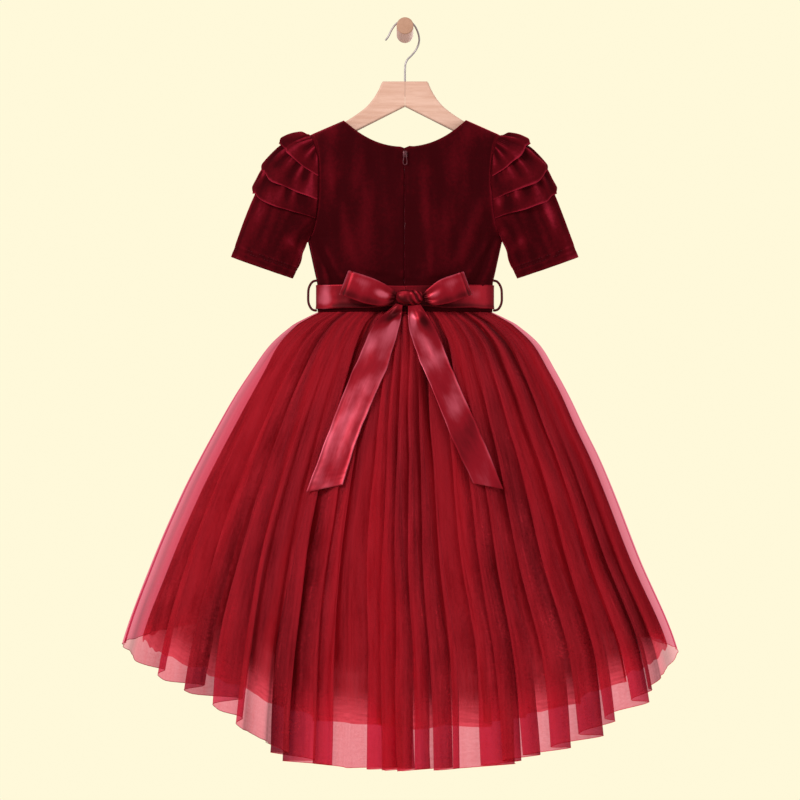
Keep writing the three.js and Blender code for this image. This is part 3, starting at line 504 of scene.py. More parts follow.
# Soft ridges of the back, as lines down it on each side: where each starts and ends, how high and how wide.
backRidges = rowsOf(
    "side startX startZ endX endZ high wide",
    (-1, -104, -196, -70, -332, 3.0, 10), (1, 107, -240, 74, -330, 2.8, 10),
    (-1, -62, -172, -44, -340, 1.6, 12), (1, 66, -175, 46, -338, 1.6, 12),
    (-1, -30, -180, -24, -345, 1.1, 7), (1, 27, -190, 22, -350, 1.1, 7),
    (-1, -131, -296, -106, -358, 2.4, 4.5), (1, 131, -296, 108, -356, 2.4, 4.5),
    (-1, -122, -300, -96, -356, -2.4, 4), (1, 120, -300, 98, -356, -2.4, 4),
    (-1, -112, -306, -86, -352, 1.8, 5), (1, 110, -302, 84, -350, 1.8, 5),
    (1, 30, -250, 36, -345, 2.2, 8), (-1, -92, -215, -96, -290, -1.8, 9),
)
frontRidges = rowsOf(
    "side startX startZ endX endZ high wide",
    (-1, -100, -200, -66, -335, 2.6, 11), (1, 103, -225, 70, -332, 2.6, 11),
    (-1, -50, -200, -36, -340, 1.4, 12), (1, 48, -205, 36, -340, 1.4, 12),
    (-1, -120, -306, -94, -356, -1.8, 4), (1, 120, -304, 94, -356, -1.8, 4),
)


def armholePoint(angle):
    across = swell(angle)
    return (
        mixed(armhole["tipX"], bodice["chestHalfWidth"], across) - armhole["bow"] * sin(angle),
        mixed(armhole["tipZ"], bodice["underarmZ"], across),
        armhole["depth"] * sin(angle),
    )


def bodicePoint(middle, rise, neckZ, halfGap):
    # x, z and the depth off the hang plane
    if rise <= 1:
        z = mixed(bodice["hemZ"], bodice["underarmZ"], rise)
        inner = (halfGap, z, tableAt(sideSections, z, "depth"))
        outer = (tableAt(sideSections, z, "halfWidth"), z, 0)
    else:
        up = min(rise - 1, 1)
        outer = armholePoint(pi * (1 - up))
        outer = (outer[0] - seamGap - 0.4, outer[1], outer[2])
        if up <= 0.5:
            t = up * 2
            depth = mixed(bodice["chestDepth"], bodice["neckDepth"], t * t)
            inner = (halfGap, mixed(bodice["underarmZ"], neckZ, t), depth)
        else:
            turn = pi * (up - 0.5)
            x = max(bodice["neckX"] * sin(turn), halfGap)
            z = mixed(neckZ, bodice["neckZ"], (x / bodice["neckX"]) ** bodice["neckCurve"])
            inner = (x, z, bodice["neckDepth"] * max(cos(turn), 0) ** 0.6)
    m = clamped(middle)
    depth = mixed(outer[2], inner[2], sqrt(1 - m * m)) + seamGap / 2
    return mixed(inner[0], outer[0], m), mixed(inner[1], outer[1], m), depth


def ridgesAt(ridges, side, x, z):
    high = 0
    for row in ridges:
        if row["side"] != side:
            continue
        t = (z - row["startZ"]) / (row["endZ"] - row["startZ"])
        if -0.25 < t < 1.25:
            middle = mixed(row["startX"], row["endX"], t) + 3 * wander(t * 2.3, row["startX"])
            high += row["high"] * ridge(x, middle, row["wide"]) * (1 - eased(abs(t - 0.5), 0.35, 0.72))
    return high * eased(abs(x), 0, 8)


# The cloth of the back (-1) and the front (1): its neckline, half the gap down its middle, its soft drape,
# and the short creases where the sash pulls it in.
panels = {
    -1: {
        "neckZ": bodice["backNeckZ"], "halfGap": seamGap / 2, "ridges": backRidges, "strain": 1.2, "seed": 2,
        "drapes": rowsOf("high across down seed", (1.7, 24, 80, 5), (0.8, 9, 42, 9)),
    },
    1: {
        "neckZ": bodice["frontNeckZ"], "halfGap": 0, "ridges": frontRidges, "strain": 1.1, "seed": 12,
        "drapes": rowsOf("high across down seed", (1.6, 26, 85, 15), (0.7, 10, 40, 19)),
    },
}


def bodiceRelief(face, side, x, z, free):
    look, fall = panels[face], abs(x)
    high = sum(
        row["high"] * wander(x / row["across"], z / row["down"], row["seed"]) for row in look["drapes"]
    )
    high += look["strain"] * wander(x / 30, z / 7, look["seed"]) * eased(-z, 322, 352)
    high += ridgesAt(look["ridges"], side, x, z)
    if face > 0:
        return high * free
    seam = -1.5 * ridge(fall, 0, 1.6) + 0.75 * ridge(fall, 3.6, 1.8)
    pucker = 0.5 * sin(z / 3.1 + 2.2 * wander(z / 17, 3)) * ridge(fall, 0, 8)
    return seam + (pucker + high) * free


def bodicePanel(bm, face, side):
    neckZ, halfGap = panels[face]["neckZ"], panels[face]["halfGap"]

    def pointAt(u, v):
        m, rise = sin(u * pi / 2), 2 * (1 - v)
        x, z, depth = bodicePoint(m, rise, neckZ, halfGap)
        edges = (1 - eased(u, 0.86, 1)) * (1 - eased(rise, 1.7, 2)) * eased(rise, 0, 0.35)
        edges *= 1 - 0.75 * eased(rise, 1.45, 1.55) * (1 - eased(u, 0, 0.2))
        notch = 2.0 * ridge(x, 0, 1.7) * ridge(rise, 1.5, 0.03) if halfGap else 0
        out = depth + bodiceRelief(face, side, side * x, z, edges)
        return Vector((side * x, hangPlaneY + face * out, z - notch))

    def toneAt(u, v):
        m, rise = sin(u * pi / 2), 2 * (1 - v)
        x, z, depth = bodicePoint(m, rise, neckZ, halfGap)
        high = bodiceRelief(face, side, side * x, z, 1)
        # Painted light and shade: highlights over the shoulder, along its top edge, the armhole edge and the
        # neck edge, and the relief painted lighter on its ridges and darker in its hollows.
        shoulder = 0.3 * ridge(m, 0.5, 0.4) * eased(rise, 1.62, 1.98) + 0.45 * ridge(rise, 1.99, 0.03)
        armholeEdge = 0.4 * ridge(m, 1, 0.018) * eased(rise, 1, 1.1)
        neck = 0.35 * ridge(u, 0, 0.03) * eased(rise, 1.49, 1.52)
        return shoulder + armholeEdge + neck + 0.1 * high - 0.24

    addSheet(bm, *bodice["grid"], pointAt, bodice["cloth"], toneAt)


for name, side in (("left", -1), ("right", 1)):
    bm = newMesh()
    bodicePanel(bm, -1, side)
    half = finishPiece(
        f"velvet_back_{name}", bm, velvet, "velvet", [f"bodice_back_{name}"],
        outward=lambda p: backwards, thick=bodice["wall"],
    )
bm = newMesh()
for side in (-1, 1):
    bodicePanel(bm, 1, side)
bodiceFront = finishPiece(
    "velvet_front", bm, velvet, "velvet", ["bodice_front"],
    outward=lambda p: forwards, weld=True, thick=bodice["wall"],
)
print("bodice made")


# Sleeves: along runs from the armhole (0) to the cuff (1), and angle from the top fold (0) over the back to
# the bottom fold (pi) or over the front (-pi).
sleeveRings = rowsOf(
    "along outX outZ inX inZ depth bow",
    (0, 131, -148, 137.6, -292, 24, 14), (0.25, 160, -162, 140.5, -302, 27, 7),
    (0.5, 188, -192, 144.5, -313, 25, 3), (0.75, 211, -237, 148, -327, 19, 1),
    (1, 242, -319, 158, -348, 13, 0),
)
ringsKept = {}


def ringAt(along):
    key = round(along, 5)
    if key not in ringsKept:
        columns = ("outX", "outZ", "inX", "inZ", "depth", "bow")
        ringsKept[key] = [tableAt(sleeveRings, along, column) for column in columns]
    return ringsKept[key]


def sleevePoint(along, angle):
    outX, outZ, inX, inZ, depth, bow = ringAt(along)
    across = swell(angle)
    return Vector((
        mixed(outX, inX, across) - bow * abs(sin(angle)),
        hangPlaneY - depth * sin(angle),
        mixed(outZ, inZ, across),
    ))


def sleeveNormal(along, angle):
    step = 1e-3
    within = clamped(along, step, 1 - step)
    around = sleevePoint(within, angle + step) - sleevePoint(within, angle - step)
    down = sleevePoint(within + step, angle) - sleevePoint(within - step, angle)
    normal = around.cross(down)
    if along < 0.01:
        normal.x = 0
    normal.normalize()
    middle = (sleevePoint(within, 0) + sleevePoint(within, pi)) / 2
    return -normal if normal.dot(sleevePoint(within, angle) - middle) < 0 else normal


sleeveLook = {
    "wall": 1.3, "foldHigh": 2.6, "tuck": 1.5, "grid": (96, 96), "cloth": (300, 170),
    "stitchRows": (11.5, 15.5), "groove": 0.6, "stitch": 2.6, "stitchGap": 1.3, "threadRadius": 0.32,
}


def sleeveRelief(side, along, angle):
    drag = sin(5 * angle + 2.5 * along + side) * (1 - along) * eased(along, 0.02, 0.25)
    hang = wander(3 * cos(angle), 3 * sin(angle) + side * 7, along * 1.6)
    crease = wander(6 * cos(angle), 6 * sin(angle), along * 4 + side * 4)
    free = eased(along, 0.02, 0.2) * (1 - 0.5 * eased(along, 0.85, 1))
    return sleeveLook["foldHigh"] * free * (0.3 * drag + 0.75 * hang + 0.3 * crease)


def sleeveShell(name, side):
    bm = newMesh()

    def pointAt(u, v):
        angle, along = 2 * pi * u, 0.003 + 0.997 * v
        p = sleevePoint(along, angle)
        edge = (sleevePoint(1, angle) - p).length
        cuff = -sleeveLook["groove"] * max(ridge(edge, row, 0.9) for row in sleeveLook["stitchRows"])
        p += sleeveNormal(along, angle) * (sleeveRelief(side, along, angle) + cuff)
        tuck = sleeveLook["tuck"] * (1 - eased(v, 0, 0.03))  # the seam allowance runs in under the bodice
        return Vector((side * (p.x - tuck), mixed(p.y, hangPlaneY, 0.03 * tuck), p.z))

    def toneAt(u, v):
        angle = 2 * pi * u
        up = cos(angle)  # 1 on the top fold, -1 on the bottom one
        high = sleeveRelief(side, v, angle)
        # Painted light and shade: highlights on the top and bottom folds and in two patches low on the
        # sleeve, light beside the stitch rows and shade along them, a bright cuff edge, and the relief
        # lighter on its ridges.
        folds = 0.16 * ridge(up, 1, 0.35) + 0.16 * ridge(up, -1, 0.25)
        glow = 0.35 * ridge(v, 0.75, 0.12) * ridge(up, 0.62, 0.16)
        glow += 0.3 * ridge(v, 0.82 + 0.25 * up, 0.07) * ridge(up, -0.5, 0.3)
        edge = (sleevePoint(1, angle) - sleevePoint(v, angle)).length
        rows = sleeveLook["stitchRows"]
        hem = 0.16 * ridge(edge, rows[0] - 1.6, 1.2) + 0.16 * ridge(edge, rows[1] + 1.6, 1.2)
        hem -= 0.2 * ridge(edge, rows[0], 0.8) + 0.2 * ridge(edge, rows[1], 0.8)
        return 0.2 * high + folds + glow + hem + 0.35 * ridge(v, 1, 0.012) - 0.12

    addSheet(bm, *sleeveLook["grid"], pointAt, sleeveLook["cloth"], toneAt)
    return finishPiece(
        f"velvet_sleeve_{name}", bm, velvet, "velvet", [f"sleeve_{name}"],
        outward=lambda p: Vector((0, p.y - hangPlaneY, 0)), weld=True, thick=sleeveLook["wall"],
    )


def cuffStitches(name, side):
    # Two rows of twin-needle stitches round the cuff, each stitch a short thread.
    bm = newMesh()
    look = sleeveLook
    for row in look["stitchRows"]:

        def alongAt(angle):
            return 1 - 0.25 * row / (sleevePoint(1, angle) - sleevePoint(0.75, angle)).length

        def onRow(angle):
            return sleevePoint(alongAt(angle), angle)

        gone, steps, angle = 0, [], 0
        while angle < 2 * pi:
            after = angle + 0.01
            gone += (onRow(after) - onRow(angle)).length
            if gone > look["stitch"] + look["stitchGap"]:
                steps.append(angle)
                gone = 0
            angle = after
        for angle in steps:
            ahead = angle
            while (onRow(ahead) - onRow(angle)).length < look["stitch"]:
                ahead += 0.003
            ends = []
            for at, lift in ((angle, 0), (mixed(angle, ahead, 0.5), 0.3), (ahead, 0)):
                along = alongAt(at)
                out = sleeveRelief(side, along, at) + look["wall"] - 0.7 + lift
                p = onRow(at) + sleeveNormal(along, at) * out
                ends.append((side * p.x, p.y, p.z))
            place, length = routeThrough(ends)
            addBar(bm, place, length, look["threadRadius"], 5, 6)
    return finishPiece(f"cuff_stitches_{name}", bm, thread, "velvet", weld=True)


# Frills: where each leaves the sleeve and ends (along and angle, in degrees), how far its free edge stands
# off, and what it was cut to, flat, in metres.
frills = rowsOf(
    "name start stop startAngle stopAngle foldFlare faceFlare cut",
    ("1", 0.02, 0.30, 56, 80, 12, 9, (0.20, 0.045, 0.005)),
    ("2", 0.25, 0.55, 80, 106, 6.5, 9, (0.25, 0.048, 0.0085)),
    ("3", 0.47, 0.71, 104, 128, 3, 8, (0.27, 0.05, 0.0092)),
)
frillLook = {
    "start": 0.012, "lift": 2.2, "waves": 4, "waveHigh": 2.6, "gathers": 8, "gatherHigh": 2.1, "wall": 1.2,
    "fullness": 3.6, "roll": 5.5, "puff": 3.5, "grid": (160, 26), "cloth": (260, 50),
}


def frillPiece(name, side, row):
    bm = newMesh()
    seed = side * 3 + float(row["name"])

    def phaseAt(s):
        return frillLook["gathers"] * pi * s + 5 * wander(s * 2.6, seed)

    def gatherAt(s, v):
        sharp = 1 - 2 * abs(sin(phaseAt(s) / 2)) ** 1.5
        fine = 0.6 * sin(27 * pi * s + 3 * wander(s * 4, seed + 5)) * (1 - eased(v, 0, 0.5))
        billow = 2.2 * wander(s * 2.8, v * 1.2, seed + 9) * eased(v, 0.2, 0.8)
        high = frillLook["gatherHigh"] * sharp * (0.8 + 0.6 * wander(s * 3, seed))
        return high * (1 - 0.85 * eased(v, 0.25, 0.9)) + fine + billow

    def pointAt(u, v):
        s = 2 * u - 1
        end = min(abs(s), 1)
        s += 0.02 * sin(9 * s + seed) * (1 - end)
        angle = s * radians(mixed(row["startAngle"], row["stopAngle"], v))
        angle += 0.03 * wander(s * 4, v * 1.5, seed) * v
        scallop = 0.006 * sin(phaseAt(s) * 0.6 + 1.2) * v * v
        along = (mixed(row["start"], row["stop"], v) + scallop) * (1 - end ** frillLook["fullness"])
        free = 1 - end ** 4
        offFold = min(abs(s) / 0.3, 1)
        waved = frillLook["waves"] * pi * s + 0.7 * wander(s * 3, seed)
        wave = offFold * frillLook["waveHigh"] * swell(waved)
        flare = mixed(row["foldFlare"], row["faceFlare"], offFold) - wave
        roll = -mixed(frillLook["roll"], 1.6, offFold) * eased(v, 0.8, 1) ** 2  # the free edge turns down
        puff = frillLook["puff"] * (1 - offFold) * eased(v, 0, 0.25)
        lift = frillLook["lift"] + free * (v ** 1.2 * flare + puff + gatherAt(s, v) * eased(v, 0, 0.2) + roll)
        along += frillLook["start"]
        p = sleevePoint(along, angle) + sleeveNormal(along, angle) * lift
        return Vector((side * p.x, p.y, p.z))

    def toneAt(u, v):
        s = 2 * u - 1
        # Painted light and shade: the gathers lighter on their crests and darker between them, darker in
        # towards the armhole seam, and a painted highlight along the free edge.
        return 0.06 + 0.2 * gatherAt(s, v) - 0.12 * (1 - v) + 0.6 * eased(v, 0.94, 1)

    addSheet(bm, *frillLook["grid"], pointAt, frillLook["cloth"], toneAt)
    node = f"sleeve_{name}_frill_{row['name']}"
    return finishPiece(
        f"velvet_{node}", bm, velvet, "velvet", [node],
        outward=lambda p: Vector((0, p.y - hangPlaneY, (p.z + 290) * 0.5)), thick=frillLook["wall"],
    )


for name, side in (("left", -1), ("right", 1)):
    shell = sleeveShell(name, side)
    stitches = cuffStitches(name, side)
    for row in frills:
        piece = frillPiece(name, side, row)
        width, length, area = row["cut"]
print("sleeves made")


# Skirt. turn is the way round it: 0 is the middle of the back, and a quarter turn either way is a side seam.
skirtTopZ = bodice["hemZ"] - seamGap
skirtSections = rowsOf(
    "drop halfWidth back front shift",
    (0, 122.8, 31.8, 31.8, 0), (8, 139, 41, 32, 0), (18, 157, 50, 32, 0), (45, 187, 72, 32, 0),
    (82, 211, 92, 32, -2), (118, 232, 108, 32, -4), (160, 253.5, 124, 32, -6), (202, 275, 137, 32, -7),
    (250, 297, 149, 32, -9), (338, 333, 167, 32, -11), (458, 380, 184, 33, -7), (605, 406, 196, 33, -5),
)
hemClimb = rowsOf(
    "at left right", (0, 0, 0), (0.2, 0.03, 0.03), (0.35, 0.14, 0.11), (0.5, 0.3, 0.23), (0.65, 0.54, 0.42),
    (0.8, 0.7, 0.64), (0.9, 0.83, 0.8), (1, 1, 1),
)
# Folds: where each valley meets the hem as a share of the half width, how deep it is there, how far it leans
# over to one side as a share of its depth, and how open it already is at the waist.
folds = rowsOf(
    "at deep lean early",
    (-0.968, 5, 0.2, 0.1), (-0.879, 14, 0.9, 0.1), (-0.779, 20, 1.2, 0.2), (-0.683, 18, 2.0, 0.5),
    (-0.569, 14, 0.7, 0.15), (-0.505, 12, -0.3, 0.1), (-0.42, 13, -0.5, 0.15), (-0.32, 22, -1.3, 0.5),
    (-0.246, 15, -2.4, 0.1), (-0.203, 20, -1.1, 0.15), (-0.149, 17, 2.3, 0.1), (-0.089, 18, 1.7, 0.25),
    (-0.036, 20, 1.0, 0.1), (0.018, 12, 1.6, 0.2), (0.075, 19, 1.2, 0.1), (0.128, 16, 1.0, 0.3),
    (0.217, 21, 1.9, 0.15), (0.295, 17, 1.5, 0.5), (0.356, 14, 1.8, 0.1), (0.438, 20, 1.6, 0.15),
    (0.537, 18, 2.0, 0.15), (0.63, 21, 1.2, 0.3), (0.74, 19, 1.6, 0.5), (0.815, 15, 1.0, 0.1),
    (0.879, 14, 0.7, 0.1), (0.936, 5, 0.2, 0.1),
)
skirtLook = {
    "openDistance": 450, "openPower": 0.8, "hemTilt": 4.5, "insetDistance": 70, "seamDeep": 6,
    "foldStart": 26, "foldSharp": 1.9, "leaning": 1.6, "gathers": 74, "gatherDeep": 1.6, "pleatDeep": 3.0,
    "sway": 0.011, "hemRoll": 0.4, "hemColumns": 5, "hemRowsPerFold": 14, "hemCloth": (3, 2000),
    "rowsBunch": 1.12, "cloth": (1500, 600),
}
# Layers from the outside in: how far each lies inside the form at the waist and the hem, which folds it
# shares and how much of their depth, where its hem hangs, and how far it hangs aside and unevenly.
layers = {row["name"]: row for row in rowsOf(
    "name topInset hemInset everyFold share backHem sideHem frontHem columns rows seed aside uneven",
    ("tulle_outer", -0.5, -0.5, 1, 1, -1001, -853, -800, 16, 130, 1, 0, 2.2),
    ("tulle_inner", 1.5, 19, 2, 0.5, -948, -847, -786, 18, 110, 2, 6, 9),
    ("lining", 3.5, 44, 3, 0.45, -884, -806, -768, 18, 80, 3, 5, 5),
)}


def skirtBase(turn, z, inset):
    drop = skirtTopZ - z
    back, front, halfWidth = (tableAt(skirtSections, drop, c) - inset for c in ("back", "front", "halfWidth"))
    halfDepth = (back + front) / 2
    middleY = hangPlaneY - (back - front) / 2
    normal = Vector((halfDepth * sin(turn), -halfWidth * cos(turn), 0)).normalized()
    middleX = tableAt(skirtSections, drop, "shift")
    return Vector((middleX + halfWidth * sin(turn), middleY - halfDepth * cos(turn), z)), normal


def hemOf(layer, turn):
    climb = tableAt(hemClimb, abs(sin(turn)), "left" if sin(turn) < 0 else "right")
    middle = layer["backHem"] if cos(turn) > 0 else layer["frontHem"]
    return mixed(middle, layer["sideHem"], climb) - skirtLook["hemTilt"] * sin(turn)


def valleysOf(layer, face):
    share = layer["share"]
    used = folds[:: layer["everyFold"]]
    rows = [dict(fold, turn=asin(fold["at"]), deep=fold["deep"] * share) for fold in used]
    end = {"deep": skirtLook["seamDeep"] * share, "lean": 0, "early": 0.1}
    rows = [{"turn": -pi / 2, **end}, *rows, {"turn": pi / 2, **end}]
    if face < 0:
        return rows
    return [dict(row, turn=pi - row["turn"], lean=-row["lean"]) for row in rows]


deepGathers = [asin(f["at"]) for f in folds if f["early"] >= 0.3]


def waistShade(turn, drop):
    # Painted shade in the few gathers that are dark from the waist down, through every layer.
    away = min(abs(asin(clamped(sin(turn), -1, 1)) - place) for place in deepGathers)
    return ridge(away, 0, mixed(0.035, 0.02, clamped(drop / 150))) * (1 - eased(drop, 70, 230))


def skirtPoint(layer, valleys, face, u, v):
    # The place on the panel, and its painted shade from 0 to 1: dark in the valleys of the folds and in the
    # deep gathers at the waist, light on the ridges, and varied in broad patches.
    count = len(valleys) - 1
    i = min(int(u * count), count - 1)
    f = u * count - i
    a, b = valleys[i], valleys[i + 1]
    turn = mixed(a["turn"], b["turn"], f)
    edge = min(u, 1 - u) * count
    z = mixed(skirtTopZ, hemOf(layer, turn), v)
    drop = skirtTopZ - z
    grown = (drop / skirtLook["openDistance"]) ** skirtLook["openPower"] if drop > 0 else 0
    starts = eased(drop, 0, skirtLook["foldStart"])
    near = swell(pi * f)

    def openedAt(row):
        return min(row["early"] + (1 - row["early"]) * grown, 1)

    valley = (1 - swell(2 * pi * f)) ** skirtLook["foldSharp"]
    deep = mixed(a["deep"] * openedAt(a), b["deep"] * openedAt(b), near) * starts * valley
    lean = mixed(a["lean"], b["lean"], near) * skirtLook["leaning"] * mixed(0.15, 1, min(grown, 1))
    seed = layer["seed"] * 11 + i * 3.7 + (50 if face > 0 else 0)
    pleats = 1 + int(abs(wander(seed, 0.5)) * 5)
    ripple = swell(2 * pi * pleats * f + 1.5 * wander(seed, drop / 160))
    second = skirtLook["pleatDeep"] * layer["share"] * min(grown, 1) ** 2 * (1 - valley) * ripple * starts
    arc = turn * skirtLook["gathers"] + 3.2 * wander(turn * 9, layer["seed"] + drop / 400)
    bunch = swell(arc)
    fine = skirtLook["gatherDeep"] * bunch * (1 - eased(drop, 8, 95)) * clamped(edge * 2) * eased(drop, -1, 4)
    inset = mixed(layer["topInset"], layer["hemInset"], 1 - exp(-drop / skirtLook["insetDistance"]))
    sway = skirtLook["sway"] * wander(i * 1.9 + layer["seed"], drop / 190)
    sway *= eased(drop, 10, 160) * clamped(edge)
    p, normal = skirtBase(turn + sway, z, inset)
    p.x += layer["aside"] * eased(drop, 10, 120)
    tangent = Vector((-normal.y, normal.x, 0))
    sunk = deep + second + fine
    p -= normal * sunk
    p += tangent * (lean * (deep + 0.5 * second)) * (1 if face < 0 else -1) * clamped(edge * 1.5)
    p.z += layer["uneven"] * wander(turn * 12, layer["seed"], 4) * eased(v, 0.8, 1)
    if edge < 0.01:
        p.y += face * 0.2
    # Painted shade: darker in the valleys, across the pleat ripples, in the deep gathers and the fine gathers
    # at the waist, and in broad patches.
    shade = 0.72 * valley ** 0.8 * mixed(openedAt(a), openedAt(b), near)
    shade += 0.2 * ripple * (1 - valley) * min(grown, 1)
    shade += 1.1 * waistShade(turn + sway, drop)
    shade += 0.6 * valley ** 1.5 * eased(drop, 60, 200) * (0.5 + wander(i * 2.3, layer["seed"]))
    shade += 1.0 * wander(turn * 4.4, drop / 420, layer["seed"] * 3) + 0.3 * wander(turn * 15, drop / 500, 7)
    shade += 0.7 * bunch * (1 - eased(drop, 5, 110)) - 0.16
    return p, clamped(shade)


sideNames = {-1: "back", 1: "front"}


def skirtPanel(key, face, material, slot, wall):
    layer = layers[key]
    valleys = valleysOf(layer, face)
    kept = {}

    def both(u, v):
        if (u, v) not in kept:
            kept.clear()
            # rows lie closer together at the waist
            kept[(u, v)] = skirtPoint(layer, valleys, face, u, v ** skirtLook["rowsBunch"])
        return kept[(u, v)]

    bm = newMesh()
    columns = (len(valleys) - 1) * layer["columns"]
    addSheet(
        bm, columns, layer["rows"], lambda u, v: both(u, v)[0], skirtLook["cloth"],
        lambda u, v: both(u, v)[1],
    )
    return finishPiece(
        f"{key}_{sideNames[face]}", bm, material, slot, [f"skirt_{key}_{sideNames[face]}"],
        outward=lambda p: Vector((p.x, 2.5 * (p.y - hangPlaneY) + face * 40, 0)), thick=wall,
    )


def hemEdge(face):
    # The narrow rolled edge of the outer tulle, a thread thick.
    layer = layers["tulle_outer"]
    valleys = valleysOf(layer, face)
    bm = newMesh()

    def pointAt(u, v):
        share = clamped(v, 0.001, 0.999)
        p = skirtPoint(layer, valleys, face, share, 1)[0]
        q = skirtPoint(layer, valleys, face, min(share + 0.0008, 0.9995), 1)[0]
        side = (q - p).normalized().cross(upwards).normalized()
        return p + (side * cos(2 * pi * u) + upwards * sin(2 * pi * u)) * skirtLook["hemRoll"]

    rows = (len(valleys) - 1) * skirtLook["hemRowsPerFold"]
    addSheet(bm, skirtLook["hemColumns"], rows, pointAt, skirtLook["hemCloth"])
    return finishPiece(f"outer_hem_edge_{sideNames[face]}", bm, tulleInner, "tulle", weld=True)


skirtPieces = {}
for key, material, slot, wall in (
    ("tulle_outer", tulleOuter, "tulle", 0), ("tulle_inner", tulleInner, "tulle", 0),
    ("lining", liningCloth, "lining", 0.5),
):
    for face in sideNames:
        skirtPieces[key, face] = skirtPanel(key, face, material, slot, wall)
hemEdges = {face: hemEdge(face) for face in sideNames}
print("skirt made")


# Sash and bow
sash = {
    "topZ": -358, "bottomZ": -391.5, "halfWidth": 121.5, "depth": 30, "lift": 2.4, "wall": 0.8,
    "knotX": 6, "grid": (300, 18), "cloth": (500, 34),
    "glints": rowsOf("lit along long across wide", (0.75, -110, 9, 0.55, 0.6), (0.35, 88, 22, 0.35, 0.3)),
}


def sashRing():
    bm = newMesh()

    def pointAt(u, v):
        turn = 2 * pi * u
        x = sash["halfWidth"] * sin(turn)
        normal = Vector((sash["depth"] * sin(turn), -sash["halfWidth"] * cos(turn), 0)).normalized()
        behind = eased(cos(turn), 0, 0.3)
        away = abs(x - sash["knotX"])
        pull = ridge(away, 0, 60) * behind  # wrinkles run in to the knot
        wrinkle = 0.5 * wander(x / 60, (v - 0.5) * 5 / (0.4 + away / 90), 3) * behind
        z = mixed(sash["topZ"], sash["bottomZ"], v)
        z += (0.5 - v) * -5 * pull + 1.4 * wander(turn * 3, v) * (0.3 + v)
        curl = 0.9 * eased(v, 0.82, 1) + 0.4 * eased(1 - v, 0.86, 1)
        base = Vector((x, hangPlaneY - sash["depth"] * cos(turn), z))
        return base + normal * (sash["lift"] + wrinkle * 0.8 + curl * 0.5)

    def toneAt(u, v):
        x = sash["halfWidth"] * sin(2 * pi * u)
        # Painted light and shade: highlights at the glints and on the bottom edge, shade either side of the
        # knot and in a line just above the bottom edge.
        lit = glintsAt(sash["glints"], x, v)
        dark = 0.35 * ridge(x, -60, 45) * v + 0.35 * ridge(x, 45, 40) + 0.3 * ridge(v, 0.9, 0.1)
        return lit - dark + 0.2 * ridge(v, 1, 0.05) + 0.15 * wander(x / 26, v * 2) - 0.02

    addSheet(bm, *sash["grid"], pointAt, sash["cloth"], toneAt)
    return finishPiece(
        "satin_sash", bm, satin, "satin", ["sash_band"],
        outward=lambda p: Vector((p.x, 4 * (p.y - hangPlaneY), 0)), weld=True, thick=sash["wall"],
    )


bow = {"frontY": -90, "backY": -77.5, "wall": 0.8, "grid": (140, 30), "cloth": (170, 33)}
knot = {
    "x": sash["knotX"], "z": -377, "halfWidth": 18.5, "halfHeight": 11, "backY": -73.6, "frontY": -95,
    "segments": 96, "rings": 56, "fullness": 0.75,
}
# Bow loops: the ribbon's middle line from the knot to the outer fold, its width there, how far it opens,
# how it leans and where it shines.
bowLoops = {
    "bow_loop_left": {
        "lean": 0.38,
        "stations": rowsOf(
            "place x z wide open", (0, -14.2, -377.5, 11, 3.2), (1, -26, -376, 25, 5.8),
            (2, -46, -369.5, 33, 7.4), (3, -66, -362.5, 33, 7.4), (4, -84, -356.5, 32, 6),
        ),
        "glints": rowsOf(
            "lit along long across wide", (0.9, 1.3, 0.5, -0.1, 0.3), (0.3, 2.9, 0.8, -0.5, 0.35),
        ),
    },
    "bow_loop_right": {
        "lean": -0.36,
        "stations": rowsOf(
            "place x z wide open", (0, 26.1, -378, 11, 3.2), (1, 36, -376.5, 23, 5.8),
            (2, 53, -369.5, 32, 7.4), (3, 71, -363, 32, 7.4), (4, 87, -357.5, 31, 6),
        ),
        "glints": rowsOf(
            "lit along long across wide", (0.5, 1.3, 0.5, -0.1, 0.3), (0.3, 2.9, 0.8, -0.5, 0.35),
        ),
    },
}


